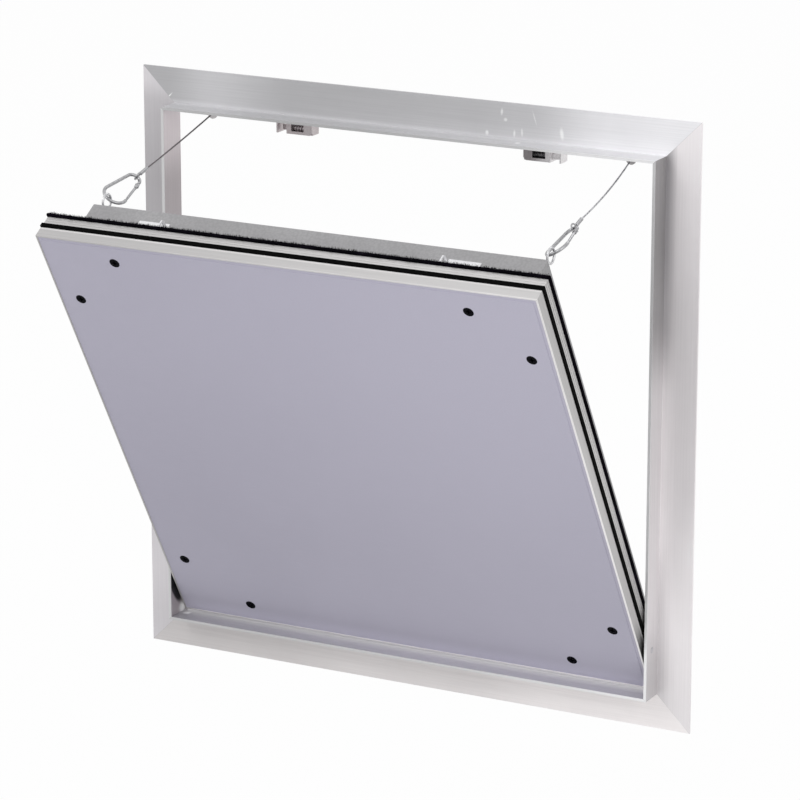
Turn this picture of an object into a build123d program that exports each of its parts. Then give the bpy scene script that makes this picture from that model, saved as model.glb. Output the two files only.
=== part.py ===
from build123d import *
import math
import os

os.makedirs("parts", exist_ok=True)

# Acoustic drywall access panel. Millimetres, +X right, -Y towards the room, +Z up.
# The origin is the centre of the opening, in the plane of the flange's front face.

# Driving dimensions of the frame
OPENING_WIDTH = 400.0
OPENING_HEIGHT = 400.0
FLANGE_REACH = 28.5
UPSTAND_WALL = 2.0
UPSTAND_HEIGHT = 20.0
FLANGE_THICKNESS = 1.8
CLEAT_SLOT = 1.7
REAR_LEG_THICKNESS = 1.5
REAR_LEG_REACH = 20.0
REAR_LEG_TOE = 1.2
TOE_GAP = 0.5
FRAME_CLEAT_ARM = 22.0
CLEAT_PLAY = 0.05
CLEAT_SIDE_PLAY = 0.3

# Driving dimensions of the door leaf
DOOR_GAP = 2.0
DOOR_DEPTH = 24.0
OPEN_ANGLE = 30.5
PIVOT_DEPTH = 9.5
PIVOT_HEIGHT = 33.5
PROFILE_WALL = 1.2
RIM_WALL = 1.3
SEAL_GROOVE_DEPTH = 2.4
FRONT_GROOVE_START = 9.0
FRONT_GROOVE_END = 13.2
REAR_GROOVE_START = 20.0
REAR_GROOVE_END = 23.2
REAR_LIP_INSET = 0.8
LEDGE_REACH = 26.0
DOOR_LEG_REACH = 16.0
BAND_LINE_DEPTH = 0.4
BAND_LINE_WIDTH = 0.6
BAND_LINE_PLACES = (15.2, 17.4)
DOOR_CLEAT_ARM = 38.0
DOOR_CLEAT_WIDTH = 9.0

# Boards, seals and tray
BOARD_THICKNESS = 12.5
BOARD_PLAY = 0.2
BEDDING_RECESS = 0.3
FRONT_SEAL_PROUD = 0.9
REAR_SEAL_PROUD = 1.4
SEAL_PLAY = 0.05
SEAL_ROUND = 1.4
CORE_BACK_GAP = 0.7
CORE_PLAY = 0.5
TRAY_INSET = 17.0
TRAY_TOP_INSET = 14.5
TRAY_DEPTH = 29.0
TRAY_WALL = 1.0
TRAY_FLANGE = 10.0
TRAY_ROUND = 1.5
WOOL_PLAY = 0.5
WOOL_BACK_GAP = 2.5

# Board screws, two at each corner
SCREW_EDGE = 18.0
SCREW_ALONG = 60.0
TOP_RIGHT_SHIFT_X = 3.6
TOP_RIGHT_SHIFT_Z = -2.6
BOTTOM_LEFT_SHIFT_X = 3.6
SCREW_HEAD_RADIUS = 4.0
SCREW_HEAD_DEPTH = 3.2
SCREW_SHANK_RADIUS = 1.75
SCREW_LENGTH = 20.0
SCREW_PLAY = 0.05
RECESS_WIDTH = 1.1
RECESS_LENGTH = 4.2
RECESS_DEPTH = 1.6

# Pan head screws and rivets
PAN_HEAD_RADIUS = 2.7
PAN_HEAD_HEIGHT = 1.7
PAN_SHANK_RADIUS = 1.5
TRAY_SCREW_COUNT = 4
TRAY_SCREW_MARGIN = 73.0
TRAY_SCREW_LENGTH = 6.0
RIVET_HEAD_RADIUS = 2.9
RIVET_HEAD_HEIGHT = 1.1
RIVET_RADIUS = 1.6

# Door pivots
PIN_RADIUS = 2.4
PIN_PLAY = 0.05
PIN_END_GAP = 0.2
BUSH_RADIUS = 4.0
BUSH_FLANGE_RADIUS = 5.4
BUSH_FLANGE = 0.9
SEAL_BREAK_RADIUS = 6.0

# Spring catches on the top bar
CATCH_INSET = 98.0
CATCH_WIDTH = 30.0
CATCH_DEPTH = 11.0
CATCH_DROP = 13.5
CATCH_TOP_GAP = 1.5
CATCH_SHEET = 1.2
CATCH_PLATE_EDGE = 6.5
CATCH_ENTRY_START = 21.5
CATCH_ENTRY_END = 28.8
CATCH_WINDOW_START = 7.0
CATCH_WINDOW_END = 17.5
CATCH_WINDOW_EDGE = 2.2
CATCH_WINDOW_HEIGHT = 6.5
CATCH_CORNER = 4.0
CATCH_SCREW_PLACES = (6.5, 23.5)
BOLT_SIZE = 4.0
BOLT_PLAY = 0.25
BOLT_NOSE = 5.6
BOLT_NOSE_TIP = 1.2
BOLT_COLLAR = 2.0
BOLT_COLLAR_SIZE = 7.6
BOLT_TRAVEL = 4.8
BOLT_TAIL_RADIUS = 1.4
BOLT_REAR_GAP = 5.3
BOLT_HEIGHT = 3.8
BOLT_BACK_SET = 5.5
SPRING_RADIUS = 2.5
SPRING_WIRE = 0.45
SPRING_TURNS = 7

# Strikers on the tray
STRIKER_SHEET = 1.2
STRIKER_DEPTH = 11.0
STRIKER_BASE_LENGTH = 25.0
STRIKER_BASE_DEPTH = 15.4
STRIKER_RISE = 10.7
STRIKER_CORNER = 2.0
STRIKER_GAP = 2.6
STRIKER_HOLE_PLAY = 0.85
STRIKER_SCREW_PLACES = (9.0, 19.0)
STRIKER_SCREW_LENGTH = 1.4

# Safety cables, their anchors, eyes and snap hooks
ANCHOR_INSET = 28.0
ANCHOR_WIDTH = 8.0
ANCHOR_SHEET = 1.2
ANCHOR_HOLE_DROP = 4.5
ANCHOR_HOLE_RADIUS = 1.1
STOP_RADIUS = 1.8
STOP_LENGTH = 5.0
CABLE_RADIUS = 0.6
EYE_INSET = 3.5
EYE_DROP = 6.3
EYE_RING_RADIUS = 5.5
EYE_WIRE = 0.9
EYE_STEM = 1.2
EYE_COLLAR_RADIUS = 2.2
EYE_COLLAR = 2.8
EYE_NUT_RADIUS = 2.4
EYE_NUT = 1.8
EYE_RING_GAP = 0.2
HOOK_LENGTH = 38.0
HOOK_NARROW = 5.0
HOOK_WIDE = 8.6
HOOK_WIRE = 1.25
HOOK_PLAY = 0.25
HOOK_ROLLS = {"left": -33.0, "right": 28.0}
GATE_WIRE = 1.0
GATE_PIVOT = 3.8
GATE_CHEEK = 0.7
GATE_CHEEK_RADIUS = 1.7
GATE_TONGUE = 1.0
GATE_SIDE_PLAY = 0.1
GATE_PIN_RADIUS = 0.6
GATE_START = 2.4
GATE_TIP_GAP = 0.6
LOOP_RADIUS = 3.0
LOOP_PLAY = 0.2
FERRULE_RADIUS = 1.4
FERRULE_LENGTH = 10.0

# Sizes worked out from the driving dimensions
REAR_FACE = FLANGE_THICKNESS + CLEAT_SLOT + REAR_LEG_THICKNESS
FIXING_LINE = REAR_LEG_REACH / 2
FRONT_FACE = -UPSTAND_HEIGHT
TOP_REVEAL = OPENING_HEIGHT / 2
SIDE_REVEAL = OPENING_WIDTH / 2
DOOR_WIDTH = OPENING_WIDTH - 2 * DOOR_GAP
DOOR_HEIGHT = OPENING_HEIGHT - 2 * DOOR_GAP
DOOR_TOP = DOOR_HEIGHT / 2
DOOR_SIDE = DOOR_WIDTH / 2
DOOR_REAR = FRONT_FACE + DOOR_DEPTH
PIVOT_Y = FRONT_FACE + PIVOT_DEPTH
PIVOT_Z = -DOOR_TOP + PIVOT_HEIGHT
PROFILE_INNER = SEAL_GROOVE_DEPTH + PROFILE_WALL
BOARD_EDGE = PROFILE_INNER + BOARD_PLAY
BOARD_BACK = FRONT_FACE + BOARD_THICKNESS
LEDGE_BACK = BOARD_THICKNESS + PROFILE_WALL
LEG_FRONT = DOOR_DEPTH - PROFILE_WALL
TRAY_TOP = DOOR_TOP - TRAY_TOP_INSET
TRAY_SIDE = DOOR_SIDE - TRAY_INSET
TRAY_BACK = DOOR_REAR + TRAY_DEPTH
ANCHOR_PLACE = SIDE_REVEAL - ANCHOR_INSET
EYE_PLACE = TRAY_SIDE - EYE_INSET
CATCH_INNER = SIDE_REVEAL - CATCH_INSET - CATCH_WIDTH / 2
CATCH_BOTTOM = TOP_REVEAL - CATCH_DROP
CATCH_TOP = TOP_REVEAL - CATCH_TOP_GAP
CATCH_BACK = REAR_FACE + CATCH_DEPTH
BOLT_Y = REAR_FACE + BOLT_BACK_SET
BOLT_Z = CATCH_BOTTOM + BOLT_HEIGHT
BOLT_SHOULDER = CATCH_INNER + CATCH_ENTRY_START - CATCH_SHEET
STRIKER_X = CATCH_INNER + CATCH_ENTRY_START + STRIKER_GAP
STRIKER_Y = BOLT_Y - STRIKER_DEPTH / 2
OPENING = Axis((0, PIVOT_Y, PIVOT_Z), (1, 0, 0))


def box_between(low, high):
    """A box from its lowest corner to its highest corner."""
    size = [b - a for a, b in zip(low, high)]
    middle = [(a + b) / 2 for a, b in zip(low, high)]
    return Pos(*middle) * Box(*size)


def rod(start, end, radius):
    """A round rod between two points."""
    axis = Vector(end) - Vector(start)
    return extrude(Plane(start, z_dir=axis) * Circle(radius), axis.length)


def opened(piece):
    """The piece of the closed door, turned to the open position."""
    return piece.rotate(OPENING, OPEN_ANGLE)


def opened_point(x, y, z):
    """Where a point of the closed door lies when the door is open."""
    return opened(Vertex(x, y, z)).center()


def save(name, *solids):
    """Write one node, made of one or more separate solids."""
    shape = solids[0] if len(solids) == 1 else Compound(children=list(solids))
    shape.label = name
    export_step(shape, os.path.join("parts", name + ".step"))


def both_sides(piece):
    """The right hand piece and its mirror image, by side."""
    return {"right": piece, "left": mirror(piece, about=Plane.YZ)}


def profile_bar(points, half_length, reach, side):
    """A bar of constant section, cut to a mitre at both ends.

    The points are (outward from the reveal, depth), and the bar lies along X.
    """
    section = make_face(Polyline([(0, depth, reach + out) for out, depth in points], close=True))
    bar = extrude(section, half_length + FLANGE_REACH, dir=(1, 0, 0), both=True)
    for end in (-1, 1):
        mitre = Plane((end * half_length, 0, reach), z_dir=(end, 0, -side))
        bar = split(bar, bisect_by=mitre, keep=Keep.BOTTOM)
    return bar


# Frame

def frame_section():
    """Flange, upstand and slotted rear leg of the frame's extrusion."""
    slot_back = FLANGE_THICKNESS + CLEAT_SLOT
    toe = REAR_LEG_REACH - REAR_LEG_TOE
    return [
        (0, FRONT_FACE), (UPSTAND_WALL, FRONT_FACE), (UPSTAND_WALL, 0), (FLANGE_REACH, 0),
        (FLANGE_REACH, FLANGE_THICKNESS), (UPSTAND_WALL, FLANGE_THICKNESS), (UPSTAND_WALL, slot_back),
        (toe, slot_back), (toe, FLANGE_THICKNESS + TOE_GAP), (REAR_LEG_REACH, FLANGE_THICKNESS + TOE_GAP),
        (REAR_LEG_REACH, REAR_FACE), (0, REAR_FACE),
    ]


def frame_bars():
    """The four mitred bars of the frame, by name."""
    flat = profile_bar(frame_section(), SIDE_REVEAL, TOP_REVEAL, 1)
    upright = profile_bar(frame_section(), TOP_REVEAL, SIDE_REVEAL, 1)
    return {
        "frame_top": Rot(0, 0, 0) * flat,
        "frame_right": Rot(0, 90, 0) * upright,
        "frame_bottom": Rot(0, 180, 0) * flat,
        "frame_left": Rot(0, 270, 0) * upright,
    }


def corner_plates(half_width, half_height, inner, outer, arm, front, back):
    """Four L shaped corner plates, one for each corner."""
    outline = [(-arm, inner), (inner, inner), (inner, -arm), (outer, -arm), (outer, outer), (-arm, outer)]
    points = [(half_width + x, front, half_height + z) for x, z in outline]
    corner = extrude(make_face(Polyline(points, close=True)), back - front, dir=(0, 1, 0))
    right = [corner, mirror(corner, about=Plane.XY)]
    return right + [mirror(piece, about=Plane.YZ) for piece in right]


def frame_cleats():
    """Corner plates that slide in the frame's slots."""
    inner = UPSTAND_WALL + CLEAT_SIDE_PLAY
    outer = REAR_LEG_REACH - REAR_LEG_TOE - CLEAT_SIDE_PLAY
    front = FLANGE_THICKNESS + CLEAT_PLAY
    back = FLANGE_THICKNESS + CLEAT_SLOT - CLEAT_PLAY
    return corner_plates(SIDE_REVEAL, TOP_REVEAL, inner, outer, FRAME_CLEAT_ARM, front, back)


def cleat_screw_places():
    """Two places (x, z) at each corner, one in each arm of the plate."""
    along = FRAME_CLEAT_ARM / 2
    places = []
    for side in (-1, 1):
        for level in (-1, 1):
            places.append((side * (SIDE_REVEAL - along), level * (TOP_REVEAL + FIXING_LINE)))
            places.append((side * (SIDE_REVEAL + FIXING_LINE), level * (TOP_REVEAL - along)))
    return places


def catch_screw_places():
    """The catch screws (x, z), two on each side."""
    return [(side * (CATCH_INNER + place), TOP_REVEAL + FIXING_LINE)
            for side in (-1, 1) for place in CATCH_SCREW_PLACES]


def anchor_places():
    """The rivets of the cable anchors (x, z)."""
    return [(side * ANCHOR_PLACE, TOP_REVEAL + FIXING_LINE) for side in (-1, 1)]


def frame_fixing(x, z, back, head_radius, head_height, shank_radius):
    """A headed fixing that enters the frame's rear leg from behind."""
    tip = FLANGE_THICKNESS + CLEAT_PLAY
    shank = rod((x, tip, z), (x, back, z), shank_radius)
    head = fillet(rod((x, back, z), (x, back + head_height, z), head_radius).edges().sort_by(Axis.Y)[-1],
                  head_height * 0.6)
    return shank + head


def drilled_frame():
    """The frame's bars with the holes for screws, rivets and pivots."""
    bars = frame_bars()
    shank = PAN_SHANK_RADIUS + SCREW_PLAY
    places = [(x, z, shank) for x, z in cleat_screw_places() + catch_screw_places()]
    places += [(x, z, RIVET_RADIUS + SCREW_PLAY) for x, z in anchor_places()]
    slot_middle = FLANGE_THICKNESS + CLEAT_SLOT / 2
    for x, z, radius in places:
        drill = rod((x, slot_middle, z), (x, REAR_FACE + 1, z), radius)
        for name in bars:
            if bars[name].bounding_box().min.X < x < bars[name].bounding_box().max.X:
                if bars[name].bounding_box().min.Z < z < bars[name].bounding_box().max.Z:
                    bars[name] = bars[name] - drill
    for name, side in (("frame_left", -1), ("frame_right", 1)):
        start = (side * (SIDE_REVEAL - 1), PIVOT_Y, PIVOT_Z)
        end = (side * (SIDE_REVEAL + UPSTAND_WALL + 1), PIVOT_Y, PIVOT_Z)
        bars[name] = bars[name] - rod(start, end, PIN_RADIUS + SCREW_PLAY)
    return bars


def drilled_cleats():
    """The corner plates with their screw holes."""
    plates = []
    for plate in frame_cleats():
        for x, z in cleat_screw_places():
            plate = plate - rod((x, 0, z), (x, REAR_FACE, z), PAN_SHANK_RADIUS + SCREW_PLAY)
        plates.append(plate)
    return plates


# Pivots

def hinge_pin():
    """A pin pressed in the right upstand, flush with its outer face."""
    outer = SIDE_REVEAL + UPSTAND_WALL
    end = DOOR_SIDE - PROFILE_INNER + PIN_END_GAP
    return rod((end, PIVOT_Y, PIVOT_Z), (outer, PIVOT_Y, PIVOT_Z), PIN_RADIUS)


def hinge_bush():
    """A flanged plastic bush in the door's right side, open position."""
    inner = DOOR_SIDE - PROFILE_INNER
    body = rod((inner, PIVOT_Y, PIVOT_Z), (DOOR_SIDE, PIVOT_Y, PIVOT_Z), BUSH_RADIUS)
    flange = rod((DOOR_SIDE, PIVOT_Y, PIVOT_Z), (DOOR_SIDE + BUSH_FLANGE, PIVOT_Y, PIVOT_Z),
                 BUSH_FLANGE_RADIUS)
    bore = rod((inner - 1, PIVOT_Y, PIVOT_Z), (DOOR_SIDE + BUSH_FLANGE + 1, PIVOT_Y, PIVOT_Z),
               PIN_RADIUS + PIN_PLAY)
    return opened(body + flange - bore)


# Door leaf, drawn closed

def door_section():
    """Rim, two seal grooves, board ledge and rear leg of the door's extrusion."""
    line_points = []
    for place in BAND_LINE_PLACES:
        line_points += [(0, place), (BAND_LINE_DEPTH, place),
                        (BAND_LINE_DEPTH, place + BAND_LINE_WIDTH), (0, place + BAND_LINE_WIDTH)]
    outer = [(0, 0), (0, FRONT_GROOVE_START), (SEAL_GROOVE_DEPTH, FRONT_GROOVE_START),
             (SEAL_GROOVE_DEPTH, FRONT_GROOVE_END), (0, FRONT_GROOVE_END)] + line_points
    outer += [(0, REAR_GROOVE_START), (SEAL_GROOVE_DEPTH, REAR_GROOVE_START),
              (SEAL_GROOVE_DEPTH, REAR_GROOVE_END), (REAR_LIP_INSET, REAR_GROOVE_END),
              (REAR_LIP_INSET, DOOR_DEPTH), (DOOR_LEG_REACH, DOOR_DEPTH), (DOOR_LEG_REACH, LEG_FRONT)]
    shelf = FRONT_GROOVE_START - PROFILE_WALL
    inner = [(PROFILE_INNER, LEG_FRONT), (PROFILE_INNER, LEDGE_BACK), (LEDGE_REACH, LEDGE_BACK),
             (LEDGE_REACH, BOARD_THICKNESS), (PROFILE_INNER, BOARD_THICKNESS), (PROFILE_INNER, shelf),
             (RIM_WALL, shelf), (RIM_WALL, 0)]
    return [(-inward, FRONT_FACE + depth) for inward, depth in outer + inner]


def door_bars():
    """The four mitred bars of the door, by name, closed."""
    flat = profile_bar(door_section(), DOOR_SIDE, DOOR_TOP, 1)
    upright = profile_bar(door_section(), DOOR_TOP, DOOR_SIDE, 1)
    return {
        "door_profile_top": Rot(0, 0, 0) * flat,
        "door_profile_right": Rot(0, 90, 0) * upright,
        "door_profile_bottom": Rot(0, 180, 0) * flat,
        "door_profile_left": Rot(0, 270, 0) * upright,
    }


def board_screw_places():
    """Two screws (x, z) at each corner of the board; two of them are driven a little off the pattern."""
    shifts = {(1, 1): (TOP_RIGHT_SHIFT_X, TOP_RIGHT_SHIFT_Z), (-1, -1): (BOTTOM_LEFT_SHIFT_X, 0)}
    places = []
    for side in (-1, 1):
        for level in (-1, 1):
            right, up = shifts.get((side, level), (0, 0))
            places.append((side * (DOOR_SIDE - SCREW_EDGE), level * (DOOR_TOP - SCREW_ALONG)))
            places.append((side * (DOOR_SIDE - SCREW_ALONG) + right, level * (DOOR_TOP - SCREW_EDGE) + up))
    return places


def tray_screw_places():
    """The screws (x, z) of the tray's flange, in a row along each side."""
    places = []
    for number in range(TRAY_SCREW_COUNT):
        share = 2 * number / (TRAY_SCREW_COUNT - 1) - 1
        across = share * (DOOR_SIDE - TRAY_SCREW_MARGIN)
        along = share * (DOOR_TOP - TRAY_SCREW_MARGIN)
        for side in (-1, 1):
            places.append((side * (TRAY_SIDE + TRAY_FLANGE / 2), along))
            places.append((across, side * (TRAY_TOP + TRAY_FLANGE / 2)))
    return places


def screw_cone(radius_play):
    """The countersunk space of a board screw at the origin, head towards -Y."""
    head = SCREW_HEAD_RADIUS + radius_play
    shank = SCREW_SHANK_RADIUS + radius_play
    cone = Plane((0, 0, 0), z_dir=(0, 1, 0)) * Pos(0, 0, SCREW_HEAD_DEPTH / 2) * Cone(
        head, shank, SCREW_HEAD_DEPTH)
    return cone + rod((0, SCREW_HEAD_DEPTH, 0), (0, SCREW_LENGTH, 0), shank)


def board_screw():
    """A bugle head screw with a cross recess."""
    low = (-RECESS_LENGTH / 2, 0, -RECESS_WIDTH / 2)
    high = (RECESS_LENGTH / 2, RECESS_DEPTH, RECESS_WIDTH / 2)
    slot = box_between(low, high)
    tip = Plane((0, SCREW_LENGTH, 0), z_dir=(0, 1, 0)) * Pos(0, 0, SCREW_SHANK_RADIUS / 2) * Cone(
        SCREW_SHANK_RADIUS, SCREW_SHANK_RADIUS / 4, SCREW_SHANK_RADIUS)
    return screw_cone(0) + tip - slot - slot.rotate(Axis.Y, 90)


def board_screws():
    """All board screws, closed position."""
    return [Pos(x, FRONT_FACE, z) * board_screw() for x, z in board_screw_places()]


def board_screw_holes():
    """The countersunk holes of the board screws."""
    return [Pos(x, FRONT_FACE, z) * screw_cone(SCREW_PLAY) for x, z in board_screw_places()]


def tray_screw(x, z):
    """One pan head screw of the tray's flange."""
    seat = DOOR_REAR + TRAY_WALL
    shank = rod((x, seat - TRAY_SCREW_LENGTH, z), (x, seat, z), PAN_SHANK_RADIUS)
    head = rod((x, seat, z), (x, seat + PAN_HEAD_HEIGHT, z), PAN_HEAD_RADIUS)
    return shank + fillet(head.edges().sort_by(Axis.Y)[-1], PAN_HEAD_HEIGHT * 0.6)


def bush_holes():
    """The bores for the two bushes, through the door's sides."""
    holes = []
    for side in (-1, 1):
        start = (side * (DOOR_SIDE - PROFILE_INNER - 1), PIVOT_Y, PIVOT_Z)
        end = (side * (DOOR_SIDE + 1), PIVOT_Y, PIVOT_Z)
        holes.append(rod(start, end, BUSH_RADIUS + SCREW_PLAY))
    return holes


def drilled_door_bars():
    """The door's bars with their screw holes and the pivot bores."""
    bars = door_bars()
    reach = PAN_SHANK_RADIUS + SCREW_PLAY
    tools = [rod((x, DOOR_REAR - TRAY_SCREW_LENGTH, z), (x, DOOR_REAR + 1, z), reach)
             for x, z in tray_screw_places()]
    tools += board_screw_holes() + bush_holes()
    for name in bars:
        limits = bars[name].bounding_box()
        near = [tool for tool in tools if overlaps(limits, tool.bounding_box())]
        bars[name] = bars[name] - near
    return bars


def overlaps(first, second):
    """Whether two bounding boxes overlap."""
    return all(getattr(first.min, axis) < getattr(second.max, axis)
               and getattr(second.min, axis) < getattr(first.max, axis) for axis in "XYZ")


def door_cleats():
    """Corner blocks in the channel between the ledge and the rear leg."""
    inner = -PROFILE_INNER - CLEAT_SIDE_PLAY
    front = FRONT_FACE + LEDGE_BACK + CLEAT_PLAY
    back = FRONT_FACE + LEG_FRONT - CLEAT_PLAY
    return corner_plates(DOOR_SIDE, DOOR_TOP, inner - DOOR_CLEAT_WIDTH, inner, DOOR_CLEAT_ARM, front, back)


def front_board():
    """The plasterboard face of the door."""
    half_width = DOOR_SIDE - BOARD_EDGE
    half_height = DOOR_TOP - BOARD_EDGE
    board = box_between((-half_width, FRONT_FACE, -half_height), (half_width, BOARD_BACK, half_height))
    return board - board_screw_holes()


def ring_between(half_width, half_height, thickness, front, back):
    """A rectangular ring whose outer half sizes are given."""
    outer = box_between((-half_width, front, -half_height), (half_width, back, half_height))
    inner_width = half_width - thickness
    inner_height = half_height - thickness
    return outer - box_between((-inner_width, front - 1, -inner_height), (inner_width, back + 1, inner_height))


def board_bedding():
    """The sealant between the door's rim and the board's edge."""
    outer = DOOR_SIDE - RIM_WALL
    height = DOOR_TOP - RIM_WALL
    back = FRONT_FACE + FRONT_GROOVE_START - PROFILE_WALL
    ring = ring_between(outer, height, BOARD_EDGE - RIM_WALL, FRONT_FACE + BEDDING_RECESS, back)
    return ring - bush_holes()


def seal_ring(start, end, proud):
    """A seal that fills a groove and stands proud of the door's edge."""
    front = FRONT_FACE + start + SEAL_PLAY
    back = FRONT_FACE + end - SEAL_PLAY
    thickness = proud + SEAL_GROOVE_DEPTH - SEAL_PLAY
    ring = ring_between(DOOR_SIDE + proud, DOOR_TOP + proud, thickness, front, back)
    long_edges = [edge for edge in ring.edges()
                  if edge.length > DOOR_WIDTH and edge.length > DOOR_HEIGHT]
    ring = fillet(long_edges, min(SEAL_ROUND, proud * 0.9))
    for side in (-1, 1):
        start_point = (side * (DOOR_SIDE - SEAL_GROOVE_DEPTH - 1), PIVOT_Y, PIVOT_Z)
        end_point = (side * (DOOR_SIDE + DOOR_GAP), PIVOT_Y, PIVOT_Z)
        ring = ring - rod(start_point, end_point, SEAL_BREAK_RADIUS)
    return ring


def core_board():
    """The second board, inside the ledge."""
    half_width = DOOR_SIDE - LEDGE_REACH - CORE_PLAY
    half_height = DOOR_TOP - LEDGE_REACH - CORE_PLAY
    return box_between((-half_width, BOARD_BACK, -half_height),
                       (half_width, DOOR_REAR - CORE_BACK_GAP, half_height))


def back_tray():
    """The folded steel tray behind the door, with its outward flange."""
    body = box_between((-TRAY_SIDE, DOOR_REAR, -TRAY_TOP), (TRAY_SIDE, TRAY_BACK, TRAY_TOP))
    body = fillet(body.faces().sort_by(Axis.Y)[-1].edges(), TRAY_ROUND)
    inside = box_between((-TRAY_SIDE + TRAY_WALL, DOOR_REAR - 1, -TRAY_TOP + TRAY_WALL),
                         (TRAY_SIDE - TRAY_WALL, TRAY_BACK - TRAY_WALL, TRAY_TOP - TRAY_WALL))
    flange = box_between((-TRAY_SIDE - TRAY_FLANGE, DOOR_REAR, -TRAY_TOP - TRAY_FLANGE),
                         (TRAY_SIDE + TRAY_FLANGE, DOOR_REAR + TRAY_WALL, TRAY_TOP + TRAY_FLANGE))
    holes = [rod((x, DOOR_REAR - 1, z), (x, DOOR_REAR + TRAY_WALL + 1, z), PAN_SHANK_RADIUS + SCREW_PLAY)
             for x, z in tray_screw_places()]
    for side in (-1, 1):
        x, y, z = eye_centre(side)
        holes.append(rod((x, TRAY_BACK - 2 * TRAY_WALL, z), (x, TRAY_BACK + 1, z), EYE_STEM + SCREW_PLAY))
        for place in STRIKER_SCREW_PLACES:
            across = side * (STRIKER_X + STRIKER_SHEET + place)
            middle = STRIKER_Y + STRIKER_DEPTH / 2
            holes.append(rod((across, middle, TRAY_TOP - 2 * TRAY_WALL), (across, middle, TRAY_TOP + 1),
                             PAN_SHANK_RADIUS + SCREW_PLAY))
    return body + flange - inside - holes


def wool():
    """The mineral wool that fills the tray."""
    gap = TRAY_WALL + WOOL_PLAY
    return box_between((-TRAY_SIDE + gap, DOOR_REAR, -TRAY_TOP + gap),
                       (TRAY_SIDE - gap, TRAY_BACK - TRAY_WALL - WOOL_BACK_GAP, TRAY_TOP - gap))


# Spring catches, right hand

def catch_screw(x, z):
    """One screw of a catch, in the frame's rear leg."""
    return frame_fixing(x, z, REAR_FACE + CATCH_SHEET, PAN_HEAD_RADIUS, PAN_HEAD_HEIGHT, PAN_SHANK_RADIUS)


def catch_plate():
    """The catch's front plate with its window, entry and screw holes."""
    outer = CATCH_INNER + CATCH_WIDTH
    plate = box_between((CATCH_INNER, REAR_FACE, CATCH_BOTTOM),
                        (outer, REAR_FACE + CATCH_SHEET, TOP_REVEAL + FIXING_LINE + CATCH_PLATE_EDGE))
    low = plate.edges().filter_by(Axis.Y).group_by(Axis.Z)[0].sort_by(Axis.X)[0]
    plate = chamfer(low, CATCH_CORNER / 2)
    window_low = CATCH_BOTTOM + CATCH_WINDOW_EDGE
    window = box_between((CATCH_INNER + CATCH_WINDOW_START, REAR_FACE - 1, window_low),
                         (CATCH_INNER + CATCH_WINDOW_END, REAR_FACE + 2 * CATCH_SHEET,
                          window_low + CATCH_WINDOW_HEIGHT))
    holes = [rod((x, REAR_FACE - 1, z), (x, REAR_FACE + 2 * CATCH_SHEET, z), PAN_SHANK_RADIUS + SCREW_PLAY)
             for x, z in catch_screw_places() if x > 0]
    return plate - window - holes


def catch_housing():
    """The folded housing that carries and guides the bolt."""
    outer = CATCH_INNER + CATCH_WIDTH
    entry = CATCH_INNER + CATCH_ENTRY_START
    front = REAR_FACE + CATCH_SHEET
    shell = box_between((CATCH_INNER, front, CATCH_BOTTOM), (outer, CATCH_BACK, CATCH_TOP))
    cavity = box_between((CATCH_INNER + CATCH_SHEET, front - CATCH_SHEET / 2, CATCH_BOTTOM + CATCH_SHEET),
                         (entry - CATCH_SHEET, CATCH_BACK - CATCH_SHEET, CATCH_TOP - CATCH_SHEET))
    mouth = box_between((entry, REAR_FACE - 1, CATCH_BOTTOM - 1),
                        (CATCH_INNER + CATCH_ENTRY_END, CATCH_BACK + 1, CATCH_TOP - CATCH_SHEET))
    half = BOLT_SIZE / 2 + BOLT_PLAY
    guide = box_between((entry - 2 * CATCH_SHEET, BOLT_Y - half, BOLT_Z - half),
                        (entry + 1, BOLT_Y + half, BOLT_Z + half))
    plate = catch_plate()
    return plate + (shell - cavity) - mouth - guide


def bolt_nose():
    """The two way bevel at the end of the bolt."""
    half = BOLT_SIZE / 2
    start = CATCH_INNER + CATCH_ENTRY_START
    tip = BOLT_NOSE_TIP / 2
    outline = [(start, BOLT_Y - half), (start + BOLT_NOSE, BOLT_Y - tip),
               (start + BOLT_NOSE, BOLT_Y + tip), (start, BOLT_Y + half)]
    face = make_face(Polyline([(x, y, BOLT_Z - half) for x, y in outline], close=True))
    return extrude(face, BOLT_SIZE, dir=(0, 0, 1))


def catch_bolt():
    """The sliding bolt with its collar and the tail that carries the spring."""
    half = BOLT_SIZE / 2
    start = CATCH_INNER + CATCH_ENTRY_START
    collar_end = BOLT_SHOULDER - BOLT_PLAY
    collar_start = collar_end - BOLT_COLLAR
    body = box_between((collar_start, BOLT_Y - half, BOLT_Z - half), (start, BOLT_Y + half, BOLT_Z + half))
    wide = BOLT_COLLAR_SIZE / 2
    collar = box_between((collar_start, BOLT_Y - wide, BOLT_Z - half), (collar_end, BOLT_Y + wide, BOLT_Z + wide))
    tail = rod((tail_end(), BOLT_Y, BOLT_Z), (collar_start, BOLT_Y, BOLT_Z), BOLT_TAIL_RADIUS)
    return body + collar + bolt_nose() + tail


def tail_end():
    """Where the bolt's tail ends, clear of the housing when it is pushed in."""
    return CATCH_INNER + CATCH_SHEET + BOLT_REAR_GAP


def catch_spring():
    """The coil spring between the housing's end and the bolt's collar."""
    start = CATCH_INNER + CATCH_SHEET + SPRING_WIRE
    end = BOLT_SHOULDER - BOLT_PLAY - BOLT_COLLAR - SPRING_WIRE
    pitch = (end - start) / SPRING_TURNS
    path = Helix(pitch, end - start, SPRING_RADIUS - SPRING_WIRE)
    section = Plane(path @ 0, z_dir=path % 0) * Circle(SPRING_WIRE)
    coil = sweep(section, path, is_frenet=True)
    return Plane((start, BOLT_Y, BOLT_Z), z_dir=(1, 0, 0)) * coil


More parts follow.
